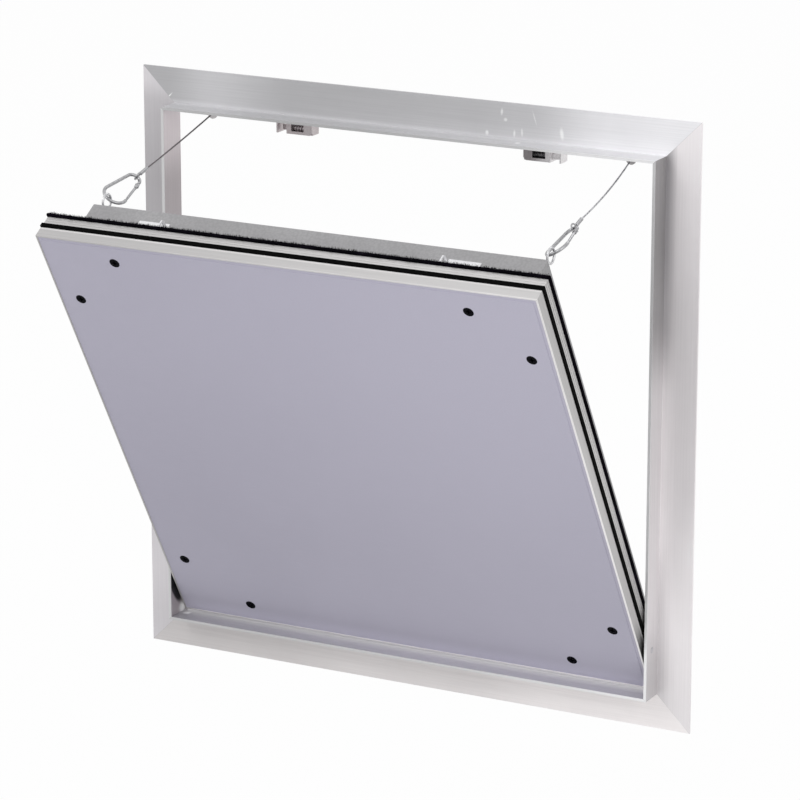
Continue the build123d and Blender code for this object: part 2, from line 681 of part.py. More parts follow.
def striker():
    """The keeper on the tray, right hand: a base and an upright with the bolt's hole."""
    base_end = (STRIKER_X + STRIKER_BASE_LENGTH, STRIKER_Y + STRIKER_BASE_DEPTH, TRAY_TOP + STRIKER_SHEET)
    base = box_between((STRIKER_X, STRIKER_Y, TRAY_TOP), base_end)
    upright = box_between((STRIKER_X, STRIKER_Y, TRAY_TOP),
                          (STRIKER_X + STRIKER_SHEET, STRIKER_Y + STRIKER_DEPTH, TRAY_TOP + STRIKER_RISE))
    corners = upright.edges().filter_by(Axis.X).group_by(Axis.Z)[-1]
    upright = chamfer(corners, STRIKER_CORNER)
    half = BOLT_SIZE / 2 + STRIKER_HOLE_PLAY
    hole = box_between((STRIKER_X - 1, BOLT_Y - half, BOLT_Z - half),
                       (STRIKER_X + STRIKER_SHEET + 1, BOLT_Y + half, BOLT_Z + half))
    screw_holes = [rod((STRIKER_X + STRIKER_SHEET + place, STRIKER_Y + STRIKER_DEPTH / 2, TRAY_TOP - 1),
                       (STRIKER_X + STRIKER_SHEET + place, STRIKER_Y + STRIKER_DEPTH / 2, TRAY_TOP + 3),
                       PAN_SHANK_RADIUS + SCREW_PLAY) for place in STRIKER_SCREW_PLACES]
    return base + upright - hole - screw_holes


def striker_screws():
    """The two screws of the right hand striker."""
    screws = []
    for place in STRIKER_SCREW_PLACES:
        x = STRIKER_X + STRIKER_SHEET + place
        y = STRIKER_Y + STRIKER_DEPTH / 2
        seat = TRAY_TOP + STRIKER_SHEET
        head = rod((x, y, seat), (x, y, seat + PAN_HEAD_HEIGHT), PAN_HEAD_RADIUS)
        head = fillet(head.edges().sort_by(Axis.Z)[-1], PAN_HEAD_HEIGHT * 0.6)
        screws.append(head + rod((x, y, TRAY_TOP - STRIKER_SCREW_LENGTH), (x, y, seat), PAN_SHANK_RADIUS))
    return screws


# Cable anchors on the frame

def anchor_hole():
    """Centre of the right hand anchor's cable hole."""
    return Vector(ANCHOR_PLACE, REAR_FACE + ANCHOR_SHEET / 2, TOP_REVEAL - ANCHOR_HOLE_DROP)


def cable_anchor():
    """A flat strap with round ends, riveted to the top bar."""
    hole = anchor_hole()
    top = TOP_REVEAL + FIXING_LINE
    radius = ANCHOR_WIDTH / 2
    strap = box_between((hole.X - radius, REAR_FACE, hole.Z), (hole.X + radius, REAR_FACE + ANCHOR_SHEET, top))
    for z in (hole.Z, top):
        strap = strap + rod((hole.X, REAR_FACE, z), (hole.X, REAR_FACE + ANCHOR_SHEET, z), radius)
    cable_way = rod((hole.X, REAR_FACE - 1, hole.Z), (hole.X, REAR_FACE + 3, hole.Z), ANCHOR_HOLE_RADIUS)
    rivet_way = rod((hole.X, REAR_FACE - 1, top), (hole.X, REAR_FACE + 3, top), RIVET_RADIUS + SCREW_PLAY)
    return strap - cable_way - rivet_way


# Eyes, snap hooks and cables

def eye_centre(side):
    """Centre of an eye bolt's ring, closed position."""
    lift = EYE_COLLAR + EYE_RING_GAP + EYE_WIRE + EYE_RING_RADIUS
    return (side * EYE_PLACE, TRAY_BACK + lift, TRAY_TOP - EYE_DROP)


def eye_bolt(side):
    """An eye bolt through the tray's back, with its nut, open position."""
    x, y, z = eye_centre(side)
    ring = Plane((x, y, z), z_dir=(1, 0, 0)) * Torus(EYE_RING_RADIUS, EYE_WIRE)
    nut_front = TRAY_BACK - TRAY_WALL - EYE_NUT
    stem = rod((x, nut_front, z), (x, y - EYE_RING_RADIUS, z), EYE_STEM)
    collar = rod((x, TRAY_BACK, z), (x, TRAY_BACK + EYE_COLLAR, z), EYE_COLLAR_RADIUS)
    nut = extrude(Plane((x, nut_front, z), z_dir=(0, 1, 0)) * RegularPolygon(EYE_NUT_RADIUS, 6), EYE_NUT)
    return opened(ring + stem + collar + nut)


def tether(side):
    """The line from an eye to its anchor: start, unit direction and length."""
    start = opened_point(*eye_centre(side))
    hole = anchor_hole()
    line = Vector(side * hole.X, hole.Y, hole.Z) - start
    return start, line.normalized(), line.length


def hook_plane(side, roll):
    """Plane of a snap hook: X across it, Y along the cable, origin at its wide end."""
    start, along, _ = tether(side)
    slack = EYE_RING_RADIUS - EYE_WIRE - HOOK_WIRE - HOOK_PLAY
    level = (Vector(1, 0, 0) - along * along.X).normalized()
    across = level.rotate(Axis((0, 0, 0), along), -roll)
    return Plane(start + along * slack, x_dir=across, z_dir=across.cross(along))


def hook_tangents():
    """Where the straight sides meet the wide and the narrow end, on the +X side."""
    centres = HOOK_LENGTH - HOOK_NARROW - HOOK_WIDE
    lean = (HOOK_WIDE - HOOK_NARROW) / centres
    across = math.sqrt(1 - lean * lean)
    wide = Vector(HOOK_WIDE * across, HOOK_WIDE + HOOK_WIDE * lean)
    narrow = Vector(HOOK_NARROW * across, HOOK_LENGTH - HOOK_NARROW + HOOK_NARROW * lean)
    return wide, narrow


def snap_hook():
    """The hook's bent wire and the tongue for its gate, in its own plane."""
    wide, narrow = hook_tangents()
    path = ThreePointArc((wide.X, wide.Y), (0, 0), (-wide.X, wide.Y))
    path += Line((-wide.X, wide.Y), (-narrow.X, narrow.Y))
    path += ThreePointArc((-narrow.X, narrow.Y), (0, HOOK_LENGTH), (narrow.X, narrow.Y))
    wire = path.wire()
    section = Plane(wire @ 0, z_dir=wire % 0) * Circle(HOOK_WIRE)
    body = sweep(section, wire)
    body = body + Pos(narrow.X, narrow.Y, 0) * Sphere(HOOK_WIRE) + Pos(wide.X, wide.Y, 0) * Sphere(HOOK_WIRE)
    tongue = gate_plane() * box_between((-GATE_WIRE, -GATE_PIVOT, -GATE_TONGUE / 2),
                                         (GATE_WIRE, 0, GATE_TONGUE / 2))
    knuckle = gate_plane() * rod((0, 0, -GATE_TONGUE / 2), (0, 0, GATE_TONGUE / 2), GATE_WIRE)
    hole = gate_plane() * rod((0, 0, -GATE_WIRE), (0, 0, GATE_WIRE), GATE_PIN_RADIUS)
    return body + tongue + knuckle - hole


def gate_plane():
    """Plane at the gate's pivot: Y along the gate, Z along the pivot."""
    wide, narrow = hook_tangents()
    along = (wide - narrow).normalized()
    pivot = narrow + along * GATE_PIVOT
    return Plane((pivot.X, pivot.Y, 0), x_dir=(along.Y, -along.X, 0), z_dir=(0, 0, 1))


def hook_gate():
    """The gate with its two cheeks, in the hook's plane."""
    wide, narrow = hook_tangents()
    length = (wide - narrow).length - GATE_PIVOT - HOOK_WIRE - GATE_TIP_GAP - GATE_WIRE
    bar = rod((0, GATE_START, 0), (0, length, 0), GATE_WIRE) + Pos(0, length, 0) * Sphere(GATE_WIRE)
    inner = GATE_TONGUE / 2 + GATE_SIDE_PLAY
    gate = bar
    for side in (-1, 1):
        low, high = sorted((side * inner, side * (inner + GATE_CHEEK)))
        gate = gate + rod((0, 0, low), (0, 0, high), GATE_CHEEK_RADIUS)
        gate = gate + box_between((-GATE_WIRE, 0, low), (GATE_WIRE, GATE_START + GATE_WIRE, high))
    gate = gate - rod((0, 0, -GATE_CHEEK_RADIUS), (0, 0, GATE_CHEEK_RADIUS), GATE_PIN_RADIUS + PIN_PLAY)
    return gate_plane() * gate


def gate_pin():
    """The pin that carries the gate."""
    half = GATE_TONGUE / 2 + GATE_SIDE_PLAY + GATE_CHEEK
    return gate_plane() * rod((0, 0, -half), (0, 0, half), GATE_PIN_RADIUS)


def loop_centre():
    """Distance of the cable loop's centre along the hook."""
    return HOOK_LENGTH - HOOK_WIRE - CABLE_RADIUS - LOOP_PLAY + LOOP_RADIUS


def cable_loop():
    """The cable's eye around the hook's wide end."""
    return Plane((0, loop_centre(), 0), z_dir=(1, 0, 0)) * Torus(LOOP_RADIUS, CABLE_RADIUS)


def ferrule():
    """The crimped sleeve behind the cable's eye."""
    start = loop_centre() + LOOP_RADIUS + CABLE_RADIUS
    sleeve = rod((0, start, 0), (0, start + FERRULE_LENGTH, 0), FERRULE_RADIUS)
    return chamfer(sleeve.edges().filter_by(GeomType.CIRCLE), CABLE_RADIUS / 2)


def cable(side):
    """The taut safety cable, from its ferrule to the anchor's stop."""
    plane = hook_plane(side, 0)
    start, along, length = tether(side)
    first = plane.origin + along * (loop_centre() + LOOP_RADIUS + CABLE_RADIUS + FERRULE_LENGTH)
    last = start + along * (length + ANCHOR_SHEET)
    return rod(first, last, CABLE_RADIUS)


def cable_stop(side):
    """The crimped stop behind the anchor."""
    start, along, length = tether(side)
    first = start + along * (length + ANCHOR_SHEET)
    stop = rod(first, first + along * STOP_LENGTH, STOP_RADIUS)
    return chamfer(stop.edges().filter_by(GeomType.CIRCLE), CABLE_RADIUS / 2)


# Assembly

def save_frame():
    """Everything that is fixed to the ceiling or wall."""
    for name, bar in drilled_frame().items():
        save(name, bar)
    save("frame_corner_plates", *drilled_cleats())
    save("corner_plate_screws", *[frame_fixing(x, z, REAR_FACE, PAN_HEAD_RADIUS, PAN_HEAD_HEIGHT,
                                               PAN_SHANK_RADIUS) for x, z in cleat_screw_places()])
    save("catch_screws", *[catch_screw(x, z) for x, z in catch_screw_places()])
    save("anchor_rivets", *[frame_fixing(x, z, REAR_FACE + ANCHOR_SHEET, RIVET_HEAD_RADIUS,
                                         RIVET_HEAD_HEIGHT, RIVET_RADIUS) for x, z in anchor_places()])
    for maker, name in ((hinge_pin, "hinge_pin"), (catch_housing, "catch_housing"),
                        (catch_bolt, "catch_bolt"), (catch_spring, "catch_spring"),
                        (cable_anchor, "cable_anchor")):
        for side, piece in both_sides(maker()).items():
            save(name + "_" + side, piece)


def save_door():
    """Everything that turns with the door."""
    for name, bar in drilled_door_bars().items():
        save(name, opened(bar))
    save("door_corner_blocks", *[opened(block) for block in door_cleats()])
    save("front_board", opened(front_board()))
    save("board_bedding", opened(board_bedding()))
    save("board_screws", *[opened(screw) for screw in board_screws()])
    save("core_board", opened(core_board()))
    save("mineral_wool", opened(wool()))
    save("back_tray", opened(back_tray()))
    save("tray_screws", *[opened(tray_screw(x, z)) for x, z in tray_screw_places()])
    save("front_seal", opened(seal_ring(FRONT_GROOVE_START, FRONT_GROOVE_END, FRONT_SEAL_PROUD)))
    save("rear_pile_seal", opened(seal_ring(REAR_GROOVE_START, REAR_GROOVE_END, REAR_SEAL_PROUD)))
    for side, piece in both_sides(hinge_bush()).items():
        save("hinge_bush_" + side, piece)
    for side, piece in both_sides(opened(striker())).items():
        save("striker_" + side, piece)
    screws = [opened(screw) for screw in striker_screws()]
    save("striker_screws", *screws, *[mirror(screw, about=Plane.YZ) for screw in screws])


def save_tethers():
    """The eye bolts, snap hooks and cables of both sides."""
    stops = []
    for name, side in (("left", -1), ("right", 1)):
        plane = hook_plane(side, HOOK_ROLLS[name])
        save("eye_bolt_" + name, eye_bolt(side))
        save("snap_hook_" + name, plane * snap_hook())
        save("hook_gate_" + name, plane * hook_gate())
        save("gate_pin_" + name, plane * gate_pin())
        save("cable_loop_" + name, plane * cable_loop())
        save("cable_ferrule_" + name, plane * ferrule())
        save("safety_cable_" + name, cable(side))
        stops.append(cable_stop(side))
    save("cable_stops", *stops)


save_frame()
save_door()
save_tethers()
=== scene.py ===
import logging
import math
from dataclasses import dataclass
from enum import Enum

import bpy
import numpy as np
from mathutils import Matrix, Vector


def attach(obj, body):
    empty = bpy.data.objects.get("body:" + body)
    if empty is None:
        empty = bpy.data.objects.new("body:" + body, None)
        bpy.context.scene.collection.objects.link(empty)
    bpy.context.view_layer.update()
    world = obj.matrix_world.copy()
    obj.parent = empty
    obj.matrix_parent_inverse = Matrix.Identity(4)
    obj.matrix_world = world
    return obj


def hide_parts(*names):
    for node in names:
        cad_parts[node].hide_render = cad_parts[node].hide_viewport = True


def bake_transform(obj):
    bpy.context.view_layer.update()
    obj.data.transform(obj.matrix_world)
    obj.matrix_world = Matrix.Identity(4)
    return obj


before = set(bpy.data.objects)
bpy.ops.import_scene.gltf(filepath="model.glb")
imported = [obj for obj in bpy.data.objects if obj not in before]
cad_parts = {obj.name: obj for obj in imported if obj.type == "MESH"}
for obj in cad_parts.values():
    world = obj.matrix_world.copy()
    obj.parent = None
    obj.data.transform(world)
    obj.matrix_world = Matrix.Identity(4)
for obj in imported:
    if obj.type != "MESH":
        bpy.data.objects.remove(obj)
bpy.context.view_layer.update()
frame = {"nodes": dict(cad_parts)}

LOG = logging.getLogger("access_panel")

Pair = tuple[float, float]
Triple = tuple[float, float, float]
Socket = bpy.types.NodeSocket
Nodes = dict[str, bpy.types.Object]

# Greys as (place along the bar in metres, shown brightness from 0 to 255). On the bars these greys are
# painted sheen, reflection and shade.
Greys = tuple[Pair, ...]

# Where the leaf turns and how far it stands open, in metres and radians.
PIVOT = np.array([0.0, -0.0105, -0.1645])
LEAF_ANGLE = math.radians(30.5)

SIDES = ("left", "right")
BARS = ("top", "bottom", "left", "right")
UNSTRETCHED = (1.0, 1.0, 1.0)
WHITE = (1.0, 1.0, 1.0)

# Between these most of a noise's values lie.
NOISE_SPAN = (0.3, 0.7)

# The sRGB curve: where its straight toe ends, the toe's slope, and the curve's offset and power.
TOE_END, TOE_SLOPE = 0.04045, 12.92
CURVE_OFFSET, CURVE_POWER = 0.055, 2.4

# A Mix node's colour sockets by number: share, first and second colour, and result.
MIX_INPUTS = (0, 6, 7)
MIX_RESULT = 2

# How a carried-over solid's edges are softened, in metres and radians.
WELD_REACH = 0.000002
CHAMFER_STEPS = 2
SHARP_ANGLE = math.radians(35.0)


class Run(Enum):
    """The axis that a metal bar runs along, and the one that crosses its face."""

    ACROSS = ("X", "Z")
    UPRIGHT = ("Z", "X")


class Place(Enum):
    """Which piece a pattern's coordinates belong to."""

    FRAME = "the fixed frame"
    LEAF = "the open leaf"


@dataclass(frozen=True)
class Ease:
    """A smooth step: low to high becomes start to end, and stays flat outside."""

    low: float
    high: float
    start: float = 0.0
    end: float = 1.0


@dataclass(frozen=True)
class Grain:
    """A fractal noise: its cells for each unit, its octaves and how strong the fine ones are."""

    scale: float
    detail: float = 3.0
    rough: float = 0.5


def leaf_point(points: np.ndarray) -> np.ndarray:
    """Turns points of the shut leaf to where the open leaf holds them.

    Args:
        points: rows of x, y, z of the shut leaf, in metres.

    Returns:
        The same rows turned about the pivot by the opening angle.
    """
    rows = np.atleast_2d(np.asarray(points, float))
    away = rows - PIVOT
    turned = np.empty_like(away)
    turned[:, 0] = away[:, 0]
    turned[:, 1] = away[:, 1] * math.cos(LEAF_ANGLE) - away[:, 2] * math.sin(LEAF_ANGLE)
    turned[:, 2] = away[:, 1] * math.sin(LEAF_ANGLE) + away[:, 2] * math.cos(LEAF_ANGLE)
    return turned + PIVOT


def linear(grey: float) -> float:
    """The light from 0 to 1 that a shown brightness from 0 to 255 stands for, by the sRGB curve.

    Args:
        grey: the brightness as a picture shows it.

    Returns:
        The share of white light.
    """
    share = grey / 255.0
    if share <= TOE_END:
        return share / TOE_SLOPE
    return ((share + CURVE_OFFSET) / (1.0 + CURVE_OFFSET)) ** CURVE_POWER


class Recipe:
    """Builds one node material, a step at a time."""

    def __init__(self, name: str) -> None:
        """Starts an empty material with a shader and an output.

        Args:
            name: the finish's name.
        """
        self.material = bpy.data.materials.new(name)
        self.material.use_nodes = True
        self.tree = self.material.node_tree
        self.tree.nodes.clear()
        self.output = self.add("ShaderNodeOutputMaterial")
        self.shader = self.add("ShaderNodeBsdfPrincipled")
        self.feed(self.output.inputs["Surface"], self.shader.outputs[0])

    def feed(self, socket: Socket, value: object) -> None:
        """Links a socket to another one, or sets its number, vector or colour.

        Args:
            socket: the input.
            value: an output to link, or the value itself.
        """
        if isinstance(value, Socket):
            self.tree.links.new(value, socket)
        elif isinstance(value, tuple) and len(value) == 3 and socket.type == "RGBA":
            socket.default_value = (*value, 1.0)
        else:
            socket.default_value = value

    def add(self, kind: str, **inputs: object) -> bpy.types.Node:
        """Adds a node and feeds its inputs.

        Args:
            kind: the node's type.
            inputs: what its inputs get, named with _ for a space.

        Returns:
            The node.
        """
        node = self.tree.nodes.new(kind)
        self.fill(node, inputs)
        return node

    def fill(self, node: bpy.types.Node, inputs: dict[str, object]) -> None:
        """Feeds a node's inputs, named with _ for a space."""
        for name, value in inputs.items():
            self.feed(node.inputs[name.replace("_", " ")], value)

    def surface(self, **inputs: object) -> None:
        """Feeds the shader's own inputs, named with _ for a space."""
        self.fill(self.shader, inputs)

    def where(self, place: Place = Place.FRAME, stretch: Triple = UNSTRETCHED) -> Socket:
        """Object coordinates in metres, stretched along the piece's own axes.

        Args:
            place: LEAF turns the coordinates back to the shut leaf.
            stretch: how many pattern units one metre holds, by axis.

        Returns:
            The coordinate socket.
        """
        socket = self.add("ShaderNodeTexCoord").outputs["Object"]
        if place is Place.LEAF:
            # A Mapping node turns about the origin, so its location puts the pivot back.
            cos, sin = math.cos(-LEAF_ANGLE), math.sin(-LEAF_ANGLE)
            moved = (PIVOT[1] * cos - PIVOT[2] * sin, PIVOT[1] * sin + PIVOT[2] * cos)
            back = self.add("ShaderNodeMapping", Vector=socket, Rotation=(-LEAF_ANGLE, 0.0, 0.0),
                            Location=(0.0, PIVOT[1] - moved[0], PIVOT[2] - moved[1]))
            socket = back.outputs["Vector"]
        if stretch != UNSTRETCHED:
            socket = self.add("ShaderNodeMapping", Vector=socket, Scale=stretch).outputs["Vector"]
        return socket

    def noise(self, where: Socket, grain: Grain) -> Socket:
        """Fractal noise from 0 to 1.

        Args:
            where: the coordinates.
            grain: how fine and rough it is.

        Returns:
            The noise socket.
        """
        node = self.add("ShaderNodeTexNoise", Vector=where, Scale=grain.scale, Detail=grain.detail,
                        Roughness=grain.rough)
        return node.outputs[0]

    def spots(self, where: Socket, scale: float) -> Socket:
        """Distance to the nearest of many scattered points."""
        return self.add("ShaderNodeTexVoronoi", Vector=where, Scale=scale).outputs[0]

    def axis(self, where: Socket, letter: str) -> Socket:
        """One coordinate of a vector."""
        return self.add("ShaderNodeSeparateXYZ", Vector=where).outputs[letter]

    def maths(self, operation: str, first: object, second: object = 0.0) -> Socket:
        """One step of arithmetic on two numbers.

        Args:
            operation: the Math node's operation.
            first: the first number or socket.
            second: the second number or socket, where the operation needs one.

        Returns:
            The result's socket.
        """
        node = self.add("ShaderNodeMath")
        node.operation = operation
        self.feed(node.inputs[0], first)
        self.feed(node.inputs[1], second)
        return node.outputs[0]

    def ease(self, value: Socket, step: Ease) -> Socket:
        """Maps a value by a smooth step.

        Args:
            value: the value's socket.
            step: the step's bounds and results.

        Returns:
            The mapped value's socket.
        """
        node = self.add("ShaderNodeMapRange", Value=value, From_Min=step.low, From_Max=step.high,
                        To_Min=step.start, To_Max=step.end)
        node.interpolation_type = "SMOOTHSTEP"
        return node.outputs[0]

    def rough(self, noise: Socket, middle: float, spread: Pair, span: Pair = NOISE_SPAN) -> Socket:
        """A roughness that a noise moves about a middle value.

        Args:
            noise: the noise's socket.
            middle: the roughness that the spread is added to.
            spread: what is added at the low and at the high end of the noise.
            span: the low and the high end of the noise.

        Returns:
            The roughness socket.
        """
        return self.ease(noise, Ease(*span, middle + spread[0], middle + spread[1]))

    def greys(self, place: Socket, stops: Greys, gain: float = 1.0) -> Socket:
        """Greys that ease from stop to stop along a place.

        Args:
            place: the coordinate along the bar, in metres.
            stops: at most 32 places with their greys.
            gain: what every grey is multiplied by.

        Returns:
            The grey as a colour socket.
        """
        margin = 0.001  # keeps the outer stops off the ramp's very ends
        low, high = stops[0][0] - margin, stops[-1][0] + margin
        share = self.maths("MULTIPLY", self.maths("SUBTRACT", place, low), 1.0 / (high - low))
        node = self.add("ShaderNodeValToRGB", Fac=share)
        node.color_ramp.interpolation = "EASE"
        spots = node.color_ramp.elements
        while len(spots) < len(stops):
            spots.new(1.0)  # past the ones that are placed first
        for spot, (where, grey) in zip(spots, stops):
            spot.position = (where - low) / (high - low)
            value = gain * linear(grey)
            spot.color = (value, value, value, 1.0)
        return node.outputs[0]

    def mark(self, where: Socket, centre: Triple, half: Triple, turn: float = 0.0,
             soft: float = 0.8) -> Socket:
        """A small oval mark.

        Args:
            where: coordinates in metres.
            centre: the mark's middle.
            half: half its width, depth and height.
            turn: how far it leans about Y, in degrees.
            soft: the share of its size over which it fades.

        Returns:
            One at the middle and nought outside.
        """
        node = self.add("ShaderNodeMapping", Vector=where, Location=centre, Scale=half,
                        Rotation=(0.0, math.radians(turn), 0.0))
        node.vector_type = "TEXTURE"
        far = self.add("ShaderNodeVectorMath")
        far.operation = "LENGTH"
        self.feed(far.inputs[0], node.outputs[0])
        return self.ease(far.outputs["Value"], Ease(1.0 - soft, 1.0, 1.0, 0.0))

    def tinted(self, grey: object, tint: Triple) -> Socket:
        """A colour multiplied by a tint."""
        return self.blend(1.0, grey, tint, "MULTIPLY")

    def blend(self, factor: object, first: object, second: object, way: str = "MIX") -> Socket:
        """A mix of two colours.

        Args:
            factor: the share of the second, as a number or socket.
            first: the colour at nought.
            second: the colour at one.
            way: the Mix node's blend type.

        Returns:
            The mixed colour's socket.
        """
        node = self.add("ShaderNodeMix")
        node.data_type = "RGBA"
        node.blend_type = way
        for number, value in zip(MIX_INPUTS, (factor, first, second)):
            self.feed(node.inputs[number], value)
        return node.outputs[MIX_RESULT]

    def relief(self, height: Socket, depth: float, strength: float) -> None:
        """Bumps the surface by a height, whose 0 to 1 is depth metres."""
        bump = self.add("ShaderNodeBump", Height=height, Distance=depth, Strength=strength)
        self.feed(self.shader.inputs["Normal"], bump.outputs[0])


@dataclass(frozen=True)
class DrawnMetal:
    """What all the drawn aluminium shares: fine lines along the bar and a satin sheen."""

    run: Run
    place: Place
    roughness: float = 0.40
    rough_spread: Pair = (-0.05, 0.08)
    metallic: float = 0.35
    line_darkens: float = 0.05
    units_along: float = 9.0
    units_across: float = 900.0
    lines: Grain = Grain(1.0, 4.0, 0.6)
    line_share: Ease = Ease(0.38, 0.66)
    clouds: Grain = Grain(38.0, 3.0, 0.55)
    cloud_share: Ease = Ease(0.4, 0.7, 0.0, 0.4)
    line_depth: float = 0.00001
    line_strength: float = 0.4

    def finish(self, recipe: Recipe, tone: Socket) -> None:
        """Lines are noise stretched a hundred times along the bar, and clouds a wide soft noise.

        Args:
            recipe: the material that is being built.
            tone: the colour before lines and clouds.
        """
        stretch = [self.units_across] * 3
        stretch["XYZ".index(self.run.value[0])] = self.units_along
        lines = recipe.noise(recipe.where(self.place, tuple(stretch)), self.lines)
        clouds = recipe.noise(recipe.where(self.place), self.clouds)
        shade = 1.0 - self.line_darkens
        dark = recipe.tinted(tone, (shade, shade, shade))
        tone = recipe.blend(recipe.ease(lines, self.line_share), tone, dark)
        tone = recipe.blend(recipe.ease(clouds, self.cloud_share), tone, dark)
        rough = recipe.rough(lines, self.roughness, self.rough_spread)
        recipe.surface(Base_Color=tone, Metallic=self.metallic, Roughness=rough)
        recipe.relief(lines, self.line_depth, self.line_strength)


@dataclass(frozen=True)
class BarZones:
    """Where the faces of a fixed bar lie, in metres, and so where the painted sheen, shade and highlights
    go.

    The steps flange, root, fold and reveal are told by the distance from the opening's middle
    line, seam by how far |x| is from |z|, and the others by the depth along Y, which is nought
    on the flange's front.
    """

    flange: Ease = Ease(0.206, 0.226)
    root: Ease = Ease(0.2022, 0.2125, 1.0, 0.0)
    upstand: Ease = Ease(-0.0005, -0.0002, 1.0, 0.0)
    fold: Ease = Ease(0.2024, 0.2056, 1.0, 0.0)
    fold_depth: Ease = Ease(-0.008, -0.0006)
    reveal: Ease = Ease(0.2004, 0.2008, 1.0, 0.0)
    back: Ease = Ease(-0.0040, 0.0010)
    edge: Ease = Ease(-0.0197, -0.0190, 1.0, 0.0)
    seam: Ease = Ease(0.00008, 0.0002, 0.35, 0.0)


@dataclass(frozen=True)
class GapShadow:
    """A painted shadow: the black of the gap beside the seal, laid on a reveal and placed on the shut leaf,
    in metres.
    """

    centre: Triple = (-0.2001, -0.0202, -0.1748)
    half: Triple = (0.0012, 0.0058, 0.0185)
    soft: float = 0.4
    tone: Triple = (0.008, 0.008, 0.011)


@dataclass(frozen=True)
class ScratchOrWeldHighlight:
    """A pale mark on a flange's front, a scratch or a painted weld highlight: its middle, half sizes, lean
    in degrees and strength.
    """

    x: float
    z: float
    half_wide: float
    half_tall: float
    lean: float
    strength: float
    half_deep: float = 0.0015

    def lay(self, recipe: Recipe, here: Socket, tone: Socket) -> Socket:
        """Lays the mark over a colour.

        Args:
            recipe: the material that is being built.
            here: coordinates in metres.
            tone: the colour below.

        Returns:
            The colour with the mark on it.
        """
        half = (self.half_wide, self.half_deep, self.half_tall)
        spot = recipe.mark(here, (self.x, 0.0, self.z), half, self.lean)
        return recipe.blend(recipe.maths("MULTIPLY", spot, self.strength), tone, WHITE)


